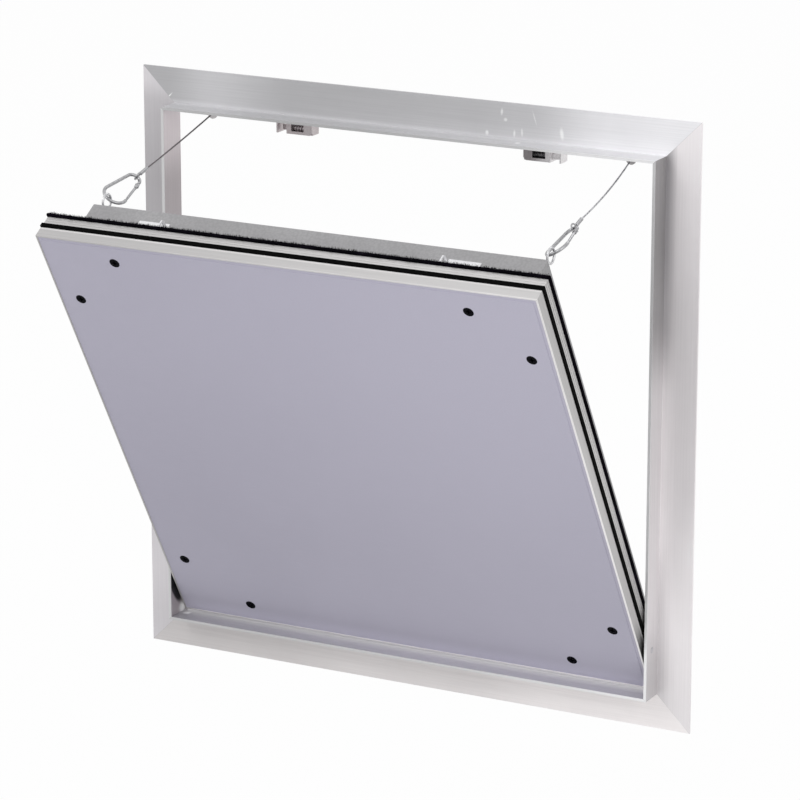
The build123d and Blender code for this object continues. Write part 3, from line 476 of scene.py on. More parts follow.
@dataclass(frozen=True)
class BarFinish:
    """One fixed bar: its greys on each face, the mitre seams and the marks on it, scratches and painted
    highlights.

    The greys are painted sheen, reflection and shade. Fall is how much duller the flange is painted beside
    the opening, root the share of painted shade where it meets the upstand, fold the painted light line
    there, and back the painted greys of the reveal's rear. Glints are pale spots as a middle and half sizes:
    painted highlights, and on the top bar a scratch. A painted shadow of the gap beside the seal is darkened
    onto the reveal by its own share.
    """

    name: str
    run: Run
    front: Greys
    side: Greys
    reveal: Greys
    edge: Greys
    tint: Triple
    reveal_tint: Triple = (1.0, 0.98, 1.03)
    fall: float = 0.05
    root: Greys = ()
    fold: float = 0.0
    back: Greys = ()
    gain: float = 1.25
    scratches_and_weld_highlights: tuple[ScratchOrWeldHighlight, ...] = ()
    glints_and_scratches: tuple[tuple[Triple, Triple], ...] = ()
    gap_shadow_share: float = 0.0
    gap_shadow: GapShadow = GapShadow()
    zones: BarZones = BarZones()
    root_shade: Triple = (0.10, 0.10, 0.115)
    seam_shade: Triple = (0.2, 0.2, 0.21)

    def make(self) -> bpy.types.Material:
        """Each face has its own painted sheen and shade: the flange, the upstand, its edge and the reveal.

        Returns:
            The bar's material.
        """
        recipe = Recipe(self.name)
        here = recipe.where()
        long_axis, cross_axis = self.run.value
        along = recipe.axis(here, long_axis)
        across = recipe.maths("ABSOLUTE", recipe.axis(here, cross_axis))
        depth = recipe.axis(here, "Y")
        outside = self.outside(recipe, along, across, depth)
        inside = self.inside(recipe, along, depth)
        tone = recipe.blend(recipe.ease(across, self.zones.reveal), outside, inside)
        # Painted shadow of the gap beside the seal, darkened onto the reveal.
        if self.gap_shadow_share:
            gap_shade = recipe.mark(recipe.where(Place.LEAF), self.gap_shadow.centre, self.gap_shadow.half, 0.0, self.gap_shadow.soft)
            tone = recipe.blend(recipe.maths("MULTIPLY", gap_shade, self.gap_shadow_share), tone, self.gap_shadow.tone)
        # Painted highlight greys along the upstand's front edge.
        edge = recipe.greys(along, self.edge, self.gain)
        tone = recipe.blend(recipe.ease(depth, self.zones.edge), tone, edge)
        tone = self.marked(recipe, here, tone)
        DrawnMetal(self.run, Place.FRAME).finish(recipe, tone)
        return recipe.material

    def outside(self, recipe: Recipe, along: Socket, across: Socket, depth: Socket) -> Socket:
        """The flange and the upstand's outer side, in painted sheen and shade, with a painted light line
        along the fold.

        Args:
            recipe: the material that is being built.
            along: the place along the bar.
            across: the distance from the opening's middle line.
            depth: the place along Y.

        Returns:
            The colour of the outer faces.
        """
        # Painted sheen and reflection along the flange.
        tone = recipe.greys(along, self.front, self.gain)
        # Painted shade: the flange is duller beside the opening.
        duller = 1.0 - self.fall
        dull = recipe.tinted(tone, (duller, duller, duller))
        tone = recipe.blend(recipe.ease(across, self.zones.flange), dull, tone)
        # Painted shade where the flange meets the upstand.
        if self.root:
            near = recipe.ease(across, self.zones.root)
            share = recipe.maths("MULTIPLY", near, recipe.greys(along, self.root))
            tone = recipe.blend(share, tone, self.root_shade)
        # Painted sheen and shade along the upstand's outer side.
        side = recipe.greys(along, self.side, self.gain)
        tone = recipe.blend(recipe.ease(depth, self.zones.upstand), tone, side)
        # Painted highlight: a light line along the fold.
        if self.fold:
            near = recipe.maths("MULTIPLY", recipe.ease(across, self.zones.fold), self.fold)
            lift = recipe.maths("MULTIPLY", near, recipe.ease(depth, self.zones.fold_depth))
            tone = recipe.blend(lift, tone, WHITE)
        return recipe.tinted(tone, self.tint)

    def inside(self, recipe: Recipe, along: Socket, depth: Socket) -> Socket:
        """The reveal in painted greys of sheen and shade, with its rear in painted greys of its own where it
        has them.

        Args:
            recipe: the material that is being built.
            along: the place along the bar.
            depth: the place along Y.

        Returns:
            The colour of the inner face.
        """
        # Painted shade and reflection along the reveal, and painted light on its rear.
        tone = recipe.greys(along, self.reveal, self.gain)
        if self.back:
            rear = recipe.greys(along, self.back, self.gain)
            tone = recipe.blend(recipe.ease(depth, self.zones.back), tone, rear)
        return recipe.tinted(tone, self.reveal_tint)

    def marked(self, recipe: Recipe, here: Socket, tone: Socket) -> Socket:
        """A hairline where |x| equals |z|, and pale marks: scratches where the metal is scuffed, and painted
        highlights.

        Args:
            recipe: the material that is being built.
            here: coordinates in metres.
            tone: the colour below.

        Returns:
            The colour with seams and marks on it.
        """
        wide = recipe.maths("ABSOLUTE", recipe.axis(here, "X"))
        tall = recipe.maths("ABSOLUTE", recipe.axis(here, "Z"))
        apart = recipe.maths("ABSOLUTE", recipe.maths("SUBTRACT", wide, tall))
        tone = recipe.blend(recipe.ease(apart, self.zones.seam), tone, self.seam_shade)
        # Scratches, and painted weld highlights at two mitres.
        for scratch_or_highlight in self.scratches_and_weld_highlights:
            tone = scratch_or_highlight.lay(recipe, here, tone)
        # Painted highlights, and on the top bar a scratch, as pale spots.
        for centre, half in self.glints_and_scratches:
            tone = recipe.blend(recipe.mark(here, centre, half), tone, WHITE)
        return tone


@dataclass(frozen=True)
class LeafBarFinish:
    """One bar of the leaf: its front rim, side strip, lip beside the seal and band between the seals, in
    painted greys of sheen, highlight and shade.

    The faces are told by how deep they lie along Y on the shut leaf, in metres.
    """

    name: str
    run: Run
    rim: Greys
    strip: Greys
    lip: float
    band: Greys
    tint: Triple = (1.01, 0.99, 0.98)
    gain: float = 1.22
    rim_depth: Ease = Ease(-0.0198, -0.0193, 1.0, 0.0)
    lip_depth: Ease = Ease(-0.0132, -0.0122)
    band_depth: Ease = Ease(-0.0100, -0.0095)

    def make(self) -> bpy.types.Material:
        """Lays rim, strip, lip and band behind one another.

        Returns:
            The bar's material.
        """
        recipe = Recipe(self.name)
        here = recipe.where(Place.LEAF)
        along = recipe.axis(here, self.run.value[0])
        depth = recipe.axis(here, "Y")
        strip = recipe.greys(along, self.strip, self.gain)
        rim = recipe.greys(along, self.rim, self.gain)
        tone = recipe.blend(recipe.ease(depth, self.rim_depth), strip, rim)
        # The lip is a painted highlight beside the seal.
        lip = self.gain * linear(self.lip)
        tone = recipe.blend(recipe.ease(depth, self.lip_depth), tone, (lip, lip, lip))
        band = recipe.greys(along, self.band, self.gain)
        tone = recipe.blend(recipe.ease(depth, self.band_depth), tone, band)
        DrawnMetal(self.run, Place.LEAF).finish(recipe, recipe.tinted(tone, self.tint))
        return recipe.material


@dataclass(frozen=True)
class PaperFace:
    """Lilac grey plasterboard paper: fine fibre over a soft tone, with painted shade towards the foot and
    the left and painted light at the very foot.
    """

    name: str = "plasterboard_paper"
    body: Triple = (0.575, 0.557, 0.655)
    darkest: float = 0.5
    leftward: Ease = Ease(-0.17, 0.17, 0.90, 1.0)
    upward: Ease = Ease(-0.17, 0.17, 0.86, 1.0)
    foot_light: Triple = (0.80, 0.775, 0.91)
    foot_share: Ease = Ease(-0.196, -0.181, 0.42, 0.0)
    grain: Grain = Grain(900.0, 4.0, 0.65)
    grain_share: Ease = Ease(0.35, 0.75, 0.0, 0.08)
    grain_tone: Triple = (0.30, 0.29, 0.36)
    fibre_stretch: Triple = (60.0, 60.0, 420.0)
    fibre: Grain = Grain(1.0, 3.0, 0.6)
    fibre_share: Ease = Ease(0.5, 0.8, 0.0, 0.05)
    fibre_tone: Triple = (0.66, 0.64, 0.72)
    cloud: Grain = Grain(11.0)
    cloud_share: Ease = Ease(0.35, 0.7, 0.0, 0.06)
    cloud_tone: Triple = (0.62, 0.60, 0.70)
    roughness: float = 0.80
    gloss: float = 0.22
    relief_depth: float = 0.00006
    relief_strength: float = 0.4

    def make(self) -> bpy.types.Material:
        """The body tone times an upward and a sideways easing of painted shade, with painted light at the
        very foot, under a fine fibre.

        The product is laid as a blend towards the darkest body tone, which comes to the same.

        Returns:
            The paper's material.
        """
        recipe = Recipe(self.name)
        here = recipe.where(Place.LEAF)
        height = recipe.axis(here, "Z")
        across = recipe.ease(recipe.axis(here, "X"), self.leftward)
        kept = recipe.maths("MULTIPLY", across, recipe.ease(height, self.upward))
        lost = recipe.maths("SUBTRACT", 1.0, kept)
        share = recipe.maths("MULTIPLY", lost, 1.0 / (1.0 - self.darkest))
        dark = tuple(self.darkest * channel for channel in self.body)
        tone = recipe.blend(share, self.body, dark)
        tone = recipe.blend(recipe.ease(height, self.foot_share), tone, self.foot_light)
        grain = recipe.noise(here, self.grain)
        fibre = recipe.noise(recipe.where(Place.LEAF, self.fibre_stretch), self.fibre)
        cloud = recipe.noise(here, self.cloud)
        tone = recipe.blend(recipe.ease(grain, self.grain_share), tone, self.grain_tone)
        tone = recipe.blend(recipe.ease(fibre, self.fibre_share), tone, self.fibre_tone)
        tone = recipe.blend(recipe.ease(cloud, self.cloud_share), tone, self.cloud_tone)
        recipe.surface(Base_Color=tone, Roughness=self.roughness, Specular_IOR_Level=self.gloss)
        recipe.relief(grain, self.relief_depth, self.relief_strength)
        return recipe.material


@dataclass(frozen=True)
class SheetFinish:
    """Coated or plated sheet: a grain of small spots over a cloudy tone."""

    name: str
    tone: Triple
    other: Triple
    grain: float = 420.0
    roughness: float = 0.55
    metallic: float = 0.0
    relief: float = 0.00004
    place: Place = Place.FRAME
    fine_to_grain: float = 2.0
    fine_rough: float = 0.6
    cloud: Grain = Grain(22.0, 4.0, 0.55)
    cloud_share: Ease = Ease(0.35, 0.68)
    spot_share: Ease = Ease(0.25, 0.8, 0.0, 0.35)
    spot_darkens: float = 0.28
    fade: Ease | None = None
    fade_tone: Triple = (0.14, 0.11, 0.115)
    rough_spread: Pair = (-0.08, 0.1)
    relief_strength: float = 0.5

    def make(self) -> bpy.types.Material:
        """Spots are a scattered-point distance, the clouds a wide noise, and a fade, painted shade, darkens
        one end along X.

        Returns:
            The sheet's material.
        """
        recipe = Recipe(self.name)
        here = recipe.where(self.place)
        spots = recipe.spots(here, self.grain)
        fine = recipe.noise(here, Grain(self.grain * self.fine_to_grain, rough=self.fine_rough))
        cloud = recipe.noise(here, self.cloud)
        tone = recipe.blend(recipe.ease(cloud, self.cloud_share), self.tone, self.other)
        dark = tuple((1.0 - self.spot_darkens) * channel for channel in self.tone)
        tone = recipe.blend(recipe.ease(spots, self.spot_share), tone, dark)
        if self.fade:
            tone = recipe.blend(recipe.ease(recipe.axis(here, "X"), self.fade), tone, self.fade_tone)
        rough = recipe.rough(fine, self.roughness, self.rough_spread)
        recipe.surface(Base_Color=tone, Metallic=self.metallic, Roughness=rough)
        recipe.relief(recipe.maths("ADD", spots, fine), self.relief, self.relief_strength)
        return recipe.material


@dataclass(frozen=True)
class Elastomer:
    """Black or grey rubber and sealant with a fine skin."""

    name: str
    tone: Triple = (0.0015, 0.0015, 0.0015)
    dusty: Triple = (0.005, 0.005, 0.005)
    roughness: float = 0.6
    gloss: float = 0.02
    rough_spread: Pair = (0.0, 0.25)
    rough_span: Pair = (0.4, 0.8)
    dust: Grain = Grain(45.0, 5.0, 0.6)
    dust_share: Ease = Ease(0.45, 0.75, 0.0, 0.6)
    skin: Grain = Grain(1500.0, 2.0)
    skin_depth: float = 0.00005
    skin_strength: float = 0.35

    def make(self) -> bpy.types.Material:
        """Dust is a wide noise that lifts the tone and the roughness together.

        Returns:
            The rubber's material.
        """
        recipe = Recipe(self.name)
        here = recipe.where(Place.LEAF)
        dust = recipe.noise(here, self.dust)
        tone = recipe.blend(recipe.ease(dust, self.dust_share), self.tone, self.dusty)
        rough = recipe.rough(dust, self.roughness, self.rough_spread, self.rough_span)
        recipe.surface(Base_Color=tone, Roughness=rough, Specular_IOR_Level=self.gloss)
        recipe.relief(recipe.noise(here, self.skin), self.skin_depth, self.skin_strength)
        return recipe.material


@dataclass(frozen=True)
class TwistedWire:
    """Stranded or plain steel wire, with dark oil between the strands."""

    name: str
    tone: Triple
    dark: Triple
    roughness: float = 0.32
    metallic: float = 0.9
    wear: Grain = Grain(500.0, 4.0, 0.6)
    wear_share: Ease = Ease(0.42, 0.7, 0.0, 0.7)
    rough_spread: Pair = (0.0, 0.15)
    wear_depth: float = 0.00003
    wear_strength: float = 0.4

    def make(self) -> bpy.types.Material:
        """A fine noise dulls the plating.

        Returns:
            The wire's material.
        """
        recipe = Recipe(self.name)
        wear = recipe.noise(recipe.where(), self.wear)
        tone = recipe.blend(recipe.ease(wear, self.wear_share), self.tone, self.dark)
        rough = recipe.rough(wear, self.roughness, self.rough_spread)
        recipe.surface(Base_Color=tone, Metallic=self.metallic, Roughness=rough)
        recipe.relief(wear, self.wear_depth, self.wear_strength)
        return recipe.material


def faces_mesh(name: str, points: np.ndarray, faces: tuple[np.ndarray, ...]) -> bpy.types.Object:
    """Makes a smooth piece at the origin from points and arrays of faces.

    Args:
        name: the piece's name.
        points: rows of x, y, z in metres.
        faces: arrays of point numbers, each with one face a row.

    Returns:
        The piece, linked to the scene.
    """
    loops = np.concatenate([rows.ravel() for rows in faces]).astype(np.int32)
    sizes = np.concatenate([np.full(len(rows), rows.shape[1]) for rows in faces])
    mesh = bpy.data.meshes.new(name)
    mesh.vertices.add(len(points))
    mesh.vertices.foreach_set("co", points.astype(np.float32).ravel())
    mesh.loops.add(len(loops))
    mesh.loops.foreach_set("vertex_index", loops)
    mesh.polygons.add(len(sizes))
    mesh.polygons.foreach_set("loop_start", np.concatenate([[0], np.cumsum(sizes)[:-1]]).astype(np.int32))
    mesh.polygons.foreach_set("use_smooth", np.ones(len(sizes), bool))
    mesh.update(calc_edges=True)
    mesh.validate()
    piece = bpy.data.objects.new(name, mesh)
    bpy.context.scene.collection.objects.link(piece)
    return piece


def surface_mesh(name: str, grid: np.ndarray) -> bpy.types.Object:
    """Makes a tube from a grid of points, closed round it and at both ends.

    Args:
        name: the piece's name.
        grid: points as rows (along, round, 3), in metres.

    Returns:
        The piece, with faces that point outwards.
    """
    rows, columns = grid.shape[:2]
    index = np.arange(rows * columns).reshape(rows, columns)
    beside = np.roll(index, -1, axis=1)
    quads = np.stack([index[:-1], beside[:-1], beside[1:], index[1:]], axis=-1).reshape(-1, 4)
    points = np.vstack([grid.reshape(-1, 3), grid[0].mean(0), grid[-1].mean(0)])
    first = np.stack([np.full(columns, rows * columns), np.roll(index[0], -1), index[0]], axis=-1)
    last = np.stack([np.full(columns, rows * columns + 1), index[-1], np.roll(index[-1], -1)], axis=-1)
    return faces_mesh(name, points, (quads, np.vstack([first, last])))


def carried(path: np.ndarray, level: np.ndarray) -> tuple[np.ndarray, np.ndarray]:
    """Two unit vectors square to a path at each of its points.

    Args:
        path: rows of points.
        level: a direction that no stretch of the path runs along.

    Returns:
        The sideways and the upward vector at each point.
    """
    run = np.gradient(path, axis=0)
    run /= np.linalg.norm(run, axis=1, keepdims=True)
    side = np.cross(run, level)
    side /= np.linalg.norm(side, axis=1, keepdims=True)
    return side, np.cross(side, run)


def dress(node: bpy.types.Object, material: bpy.types.Material, edge: float = 0.0) -> None:
    """Gives a carried-over node its material, and softens its sharp edges.

    Args:
        node: the node's object.
        material: its finish.
        edge: the width of the small chamfer on sharp edges, in metres, or 0 for none.
    """
    node.data.materials.clear()
    node.data.materials.append(material)
    if edge:
        weld = node.modifiers.new("weld", "WELD")
        weld.merge_threshold = WELD_REACH
        bevel = node.modifiers.new("edge", "BEVEL")
        bevel.width = edge
        bevel.segments = CHAMFER_STEPS
        bevel.limit_method = "ANGLE"
        bevel.angle_limit = SHARP_ANGLE
    LOG.info("dressed %s with %s", node.name, material.name)


@dataclass
class FixedFrame:
    """The four bars in the wall with their catches, anchors and pins."""

    # Each bar's greys are painted sheen, reflection and shade; root is painted shade and fold a painted
    # light line.
    top: BarFinish = BarFinish(
        "bar_top", Run.ACROSS,
        front=((-0.21, 168), (-0.17, 190), (-0.10, 172), (0.05, 181), (0.09, 188), (0.16, 226), (0.21, 231)),
        side=((-0.20, 195), (-0.12, 185), (-0.06, 187), (0.06, 199), (0.14, 207), (0.20, 210)),
        reveal=((-0.20, 170), (0.20, 190)),
        edge=((-0.20, 177), (-0.06, 176), (0.03, 189), (0.09, 198), (0.15, 228), (0.20, 232)),
        tint=(0.995, 0.99, 1.01), fall=0.0, fold=0.26,
        # The first mark, across the top-left mitre, is a painted weld highlight; the rest are scratches.
        scratches_and_weld_highlights=(ScratchOrWeldHighlight(-0.2065, 0.2065, 0.0007, 0.0055, 45.0, 0.9),
                ScratchOrWeldHighlight(0.0720, 0.2214, 0.0014, 0.0036, 4.0, 0.7),
                ScratchOrWeldHighlight(0.0750, 0.2159, 0.0020, 0.0019, 0.0, 0.7),
                ScratchOrWeldHighlight(0.0602, 0.2049, 0.0019, 0.0026, 0.0, 0.65),
                ScratchOrWeldHighlight(0.0821, 0.2063, 0.0013, 0.0038, 3.0, 0.6),
                ScratchOrWeldHighlight(0.0882, 0.2076, 0.0012, 0.0042, -3.0, 0.55),
                ScratchOrWeldHighlight(0.0982, 0.2190, 0.0008, 0.0075, -18.0, 0.45),
                ScratchOrWeldHighlight(0.1199, 0.2097, 0.0021, 0.0062, -8.0, 0.95)),
        # A scratch on the upstand's top.
        glints_and_scratches=(((0.0895, -0.010, 0.2022), (0.0030, 0.0035, 0.0012)),))
    bottom: BarFinish = BarFinish(
        "bar_bottom", Run.ACROSS,
        front=((-0.22, 187), (-0.12, 193), (-0.04, 205), (0.04, 206), (0.12, 224), (0.21, 229)),
        side=((-0.20, 170), (0.20, 190)),
        reveal=((-0.20, 168), (-0.13, 176), (-0.05, 187), (0.04, 192), (0.20, 190)),
        edge=((-0.20, 178), (-0.12, 179), (-0.04, 187), (0.04, 191), (0.12, 206), (0.20, 222)),
        # The reveal's rear is painted light.
        tint=(1.015, 0.975, 0.967), back=((-0.20, 200), (0.0, 220), (0.20, 232)),
        # A painted weld highlight across the bottom-right mitre.
        scratches_and_weld_highlights=(ScratchOrWeldHighlight(0.2205, -0.2205, 0.0006, 0.0042, -45.0, 0.9),),
        # A painted highlight on the bottom reveal at its left end.
        glints_and_scratches=(((-0.1945, -0.006, -0.2001), (0.0045, 0.0045, 0.0012)),))
    left: BarFinish = BarFinish(
        "bar_left", Run.UPRIGHT,
        front=((-0.22, 192), (-0.16, 204), (-0.11, 193), (0.14, 169), (0.20, 182), (0.22, 204)),
        side=((-0.20, 180), (0.20, 180)),
        reveal=((-0.20, 164), (-0.16, 152), (0.14, 158), (0.185, 196), (0.20, 204)),
        edge=((-0.20, 190), (0.20, 196)),
        # A painted shadow of the gap beside the seal is darkened onto the reveal.
        tint=(1.01, 0.977, 1.005), reveal_tint=(1.06, 0.965, 0.99), gap_shadow_share=0.97,
        # A painted highlight on the left reveal at its foot.
        glints_and_scratches=(((-0.2001, -0.0035, -0.1965), (0.0012, 0.0068, 0.0068)),))
    right: BarFinish = BarFinish(
        "bar_right", Run.UPRIGHT,
        front=((-0.21, 216), (-0.15, 231), (-0.09, 232), (-0.03, 225), (0.07, 215), (0.15, 228),
               (0.20, 232)),
        side=((-0.19, 192), (-0.13, 215), (0.02, 205), (0.09, 152), (0.14, 141), (0.19, 149)),
        reveal=((-0.20, 175), (0.20, 185)),
        edge=((-0.20, 222), (-0.05, 224), (0.02, 212), (0.08, 184), (0.20, 196)),
        tint=(1.01, 0.975, 0.982), fall=0.02,
        # Painted shade along the right flange's root, strongest high and low.
        root=((-0.20, 124), (-0.14, 124), (-0.06, 0), (0.02, 0), (0.08, 164), (0.14, 194), (0.20, 206)))
    plates: SheetFinish = SheetFinish(
        "corner_plate", (0.5, 0.5, 0.5), (0.6, 0.6, 0.6), grain=700.0, roughness=0.4, metallic=0.7)
    # The two catches are one part: the right one is painted lighter, and its fade is painted shade at its
    # inner end.
    left_catch: SheetFinish = SheetFinish(
        "catch_zinc", (0.60, 0.54, 0.545), (0.72, 0.67, 0.675), grain=900.0, roughness=0.42, metallic=0.5)
    right_catch: SheetFinish = SheetFinish(
        "painted_lit_catch", (0.90, 0.87, 0.875), (0.96, 0.95, 0.95), grain=900.0, roughness=0.42,
        metallic=0.5, fade=Ease(0.092, 0.106, 0.7, 0.0))
    strap: SheetFinish = SheetFinish(
        "anchor_strap", (0.62, 0.60, 0.60), (0.74, 0.72, 0.72), grain=900.0, roughness=0.38, metallic=0.7)
    fixing: TwistedWire = TwistedWire("plated_fixing", (0.66, 0.66, 0.68), (0.42, 0.42, 0.44))
    # The two springs are one part: the left one's pale tone is painted light and the right one's dark tone
    # painted shade.
    left_spring: TwistedWire = TwistedWire(
        "painted_lit_spring", (0.95, 0.88, 0.89), (0.6, 0.54, 0.55), roughness=0.4, metallic=0.3)
    right_spring: TwistedWire = TwistedWire("spring_wire", (0.20, 0.20, 0.21), (0.06, 0.06, 0.06))
    sheet_edge: float = 0.00015

    def build(self, nodes: Nodes) -> None:
        """Dresses the bars, plates, catches and fixings.

        Args:
            nodes: the CAD nodes by name.
        """
        for name, finish in zip(BARS, (self.top, self.bottom, self.left, self.right)):
            dress(nodes["frame_" + name], finish.make())
        dress(nodes["frame_corner_plates"], self.plates.make())
        strap = self.strap.make()
        fixing = self.fixing.make()
        catches = (self.left_catch, self.right_catch)
        springs = (self.left_spring, self.right_spring)
        for side, sheet, wire in zip(SIDES, catches, springs):
            catch = sheet.make()
            for name in ("catch_housing_", "catch_bolt_"):
                dress(nodes[name + side], catch, self.sheet_edge)
            dress(nodes["cable_anchor_" + side], strap, self.sheet_edge)
            dress(nodes["catch_spring_" + side], wire.make())
            dress(nodes["hinge_pin_" + side], fixing)
        for name in ("corner_plate_screws", "catch_screws", "anchor_rivets", "cable_stops"):
            dress(nodes[name], fixing)


@dataclass
class Leaf:
    """The door: four bars, boards, seals, tray and strikers."""

    # The leaf bars' greys are painted sheen and shade: the left bar's light lower end is a painted
    # highlight, the right bar's black lower end a painted shadow in the gap.
    top: LeafBarFinish = LeafBarFinish(
        "leaf_bar_top", Run.ACROSS, rim=((-0.20, 176), (0.05, 198), (0.20, 218)),
        strip=((-0.20, 176), (0.20, 194)), lip=214.0, band=((-0.20, 184), (0.20, 200)))
    bottom: LeafBarFinish = LeafBarFinish(
        "leaf_bar_bottom", Run.ACROSS,
        rim=((-0.20, 205), (-0.10, 215), (0.0, 222), (0.10, 232), (0.20, 232)),
        strip=((-0.20, 160), (0.20, 170)), lip=180.0, band=((-0.20, 170), (0.20, 180)))
    left: LeafBarFinish = LeafBarFinish(
        "leaf_bar_left", Run.UPRIGHT, rim=((-0.20, 164), (0.20, 164)),
        strip=((-0.195, 235), (-0.18, 170), (0.20, 175)), lip=180.0,
        band=((-0.195, 240), (-0.182, 150), (0.20, 160)))
    right: LeafBarFinish = LeafBarFinish(
        "leaf_bar_right", Run.UPRIGHT, rim=((-0.20, 224), (0.0, 232), (0.20, 220)),
        strip=((-0.165, 40), (-0.125, 176), (0.0, 182), (0.20, 174)), lip=186.0,
        band=((-0.150, 40), (-0.125, 182), (0.0, 198), (0.20, 188)))
    blocks: SheetFinish = SheetFinish(
        "corner_block", (0.5, 0.5, 0.5), (0.6, 0.6, 0.6), grain=700.0, roughness=0.4, metallic=0.7)
    paper: PaperFace = PaperFace()
    tray: SheetFinish = SheetFinish(
        "tray_sheet", (0.385, 0.38, 0.385), (0.43, 0.425, 0.43), grain=520.0, roughness=0.62,
        relief=0.00005, place=Place.LEAF)
    core: SheetFinish = SheetFinish(
        "core_paper", (0.45, 0.44, 0.46), (0.50, 0.49, 0.50), grain=700.0, roughness=0.8,
        relief=0.00003, place=Place.LEAF)
    wool: SheetFinish = SheetFinish(
        "wool_fibre", (0.50, 0.45, 0.30), (0.62, 0.56, 0.38), grain=300.0, roughness=0.9,
        relief=0.0006, place=Place.LEAF)
    screw: Elastomer = Elastomer(
        "black_phosphate", (0.0015, 0.0015, 0.003), (0.005, 0.005, 0.008), roughness=0.5, gloss=0.04)
    striker: SheetFinish = SheetFinish(
        "bright_zinc", (0.86, 0.86, 0.88), (0.96, 0.96, 0.97), grain=1100.0, roughness=0.34, metallic=0.3,
        relief=0.00002, place=Place.LEAF)
    rubber: Elastomer = Elastomer("seal_rubber")
    bush: Elastomer = Elastomer(
        "bush_plastic", (0.02, 0.02, 0.02), (0.05, 0.05, 0.05), roughness=0.5, gloss=0.3)
    pile: Elastomer = Elastomer(
        "seal_pile", (0.002, 0.0015, 0.003), (0.014, 0.010, 0.020), roughness=0.8)
    fixing: TwistedWire = TwistedWire("leaf_fixing", (0.66, 0.66, 0.68), (0.42, 0.42, 0.44))
    eye: TwistedWire = TwistedWire("eye_zinc", (0.66, 0.66, 0.67), (0.40, 0.40, 0.42), 0.28)
    bar_edge: float = 0.0001
    tray_edge: float = 0.0003
    striker_edge: float = 0.00015

    def build(self, nodes: Nodes) -> None:
        """Dresses every node of the leaf and grows the pile's fringe.

        Args:
            nodes: the CAD nodes by name.
        """
        for name, finish in zip(BARS, (self.top, self.bottom, self.left, self.right)):
            dress(nodes["door_profile_" + name], finish.make(), self.bar_edge)
        paper = self.paper.make()
        pile = self.pile.make()
        fixing = self.fixing.make()
        for name, material in (("door_corner_blocks", self.blocks.make()), ("front_board", paper),
                               ("board_bedding", paper), ("board_screws", self.screw.make()),
                               ("core_board", self.core.make()), ("mineral_wool", self.wool.make()),
                               ("front_seal", self.rubber.make()), ("rear_pile_seal", pile),
                               ("tray_screws", fixing), ("striker_screws", fixing)):
            dress(nodes[name], material)
        dress(nodes["back_tray"], self.tray.make(), self.tray_edge)
        PileFringe().build(pile)
        eye = self.eye.make()
        bush = self.bush.make()
        striker = self.striker.make()
        for side in SIDES:
            dress(nodes["eye_bolt_" + side], eye)
            dress(nodes["hinge_bush_" + side], bush)
            dress(nodes["striker_" + side], striker, self.striker_edge)


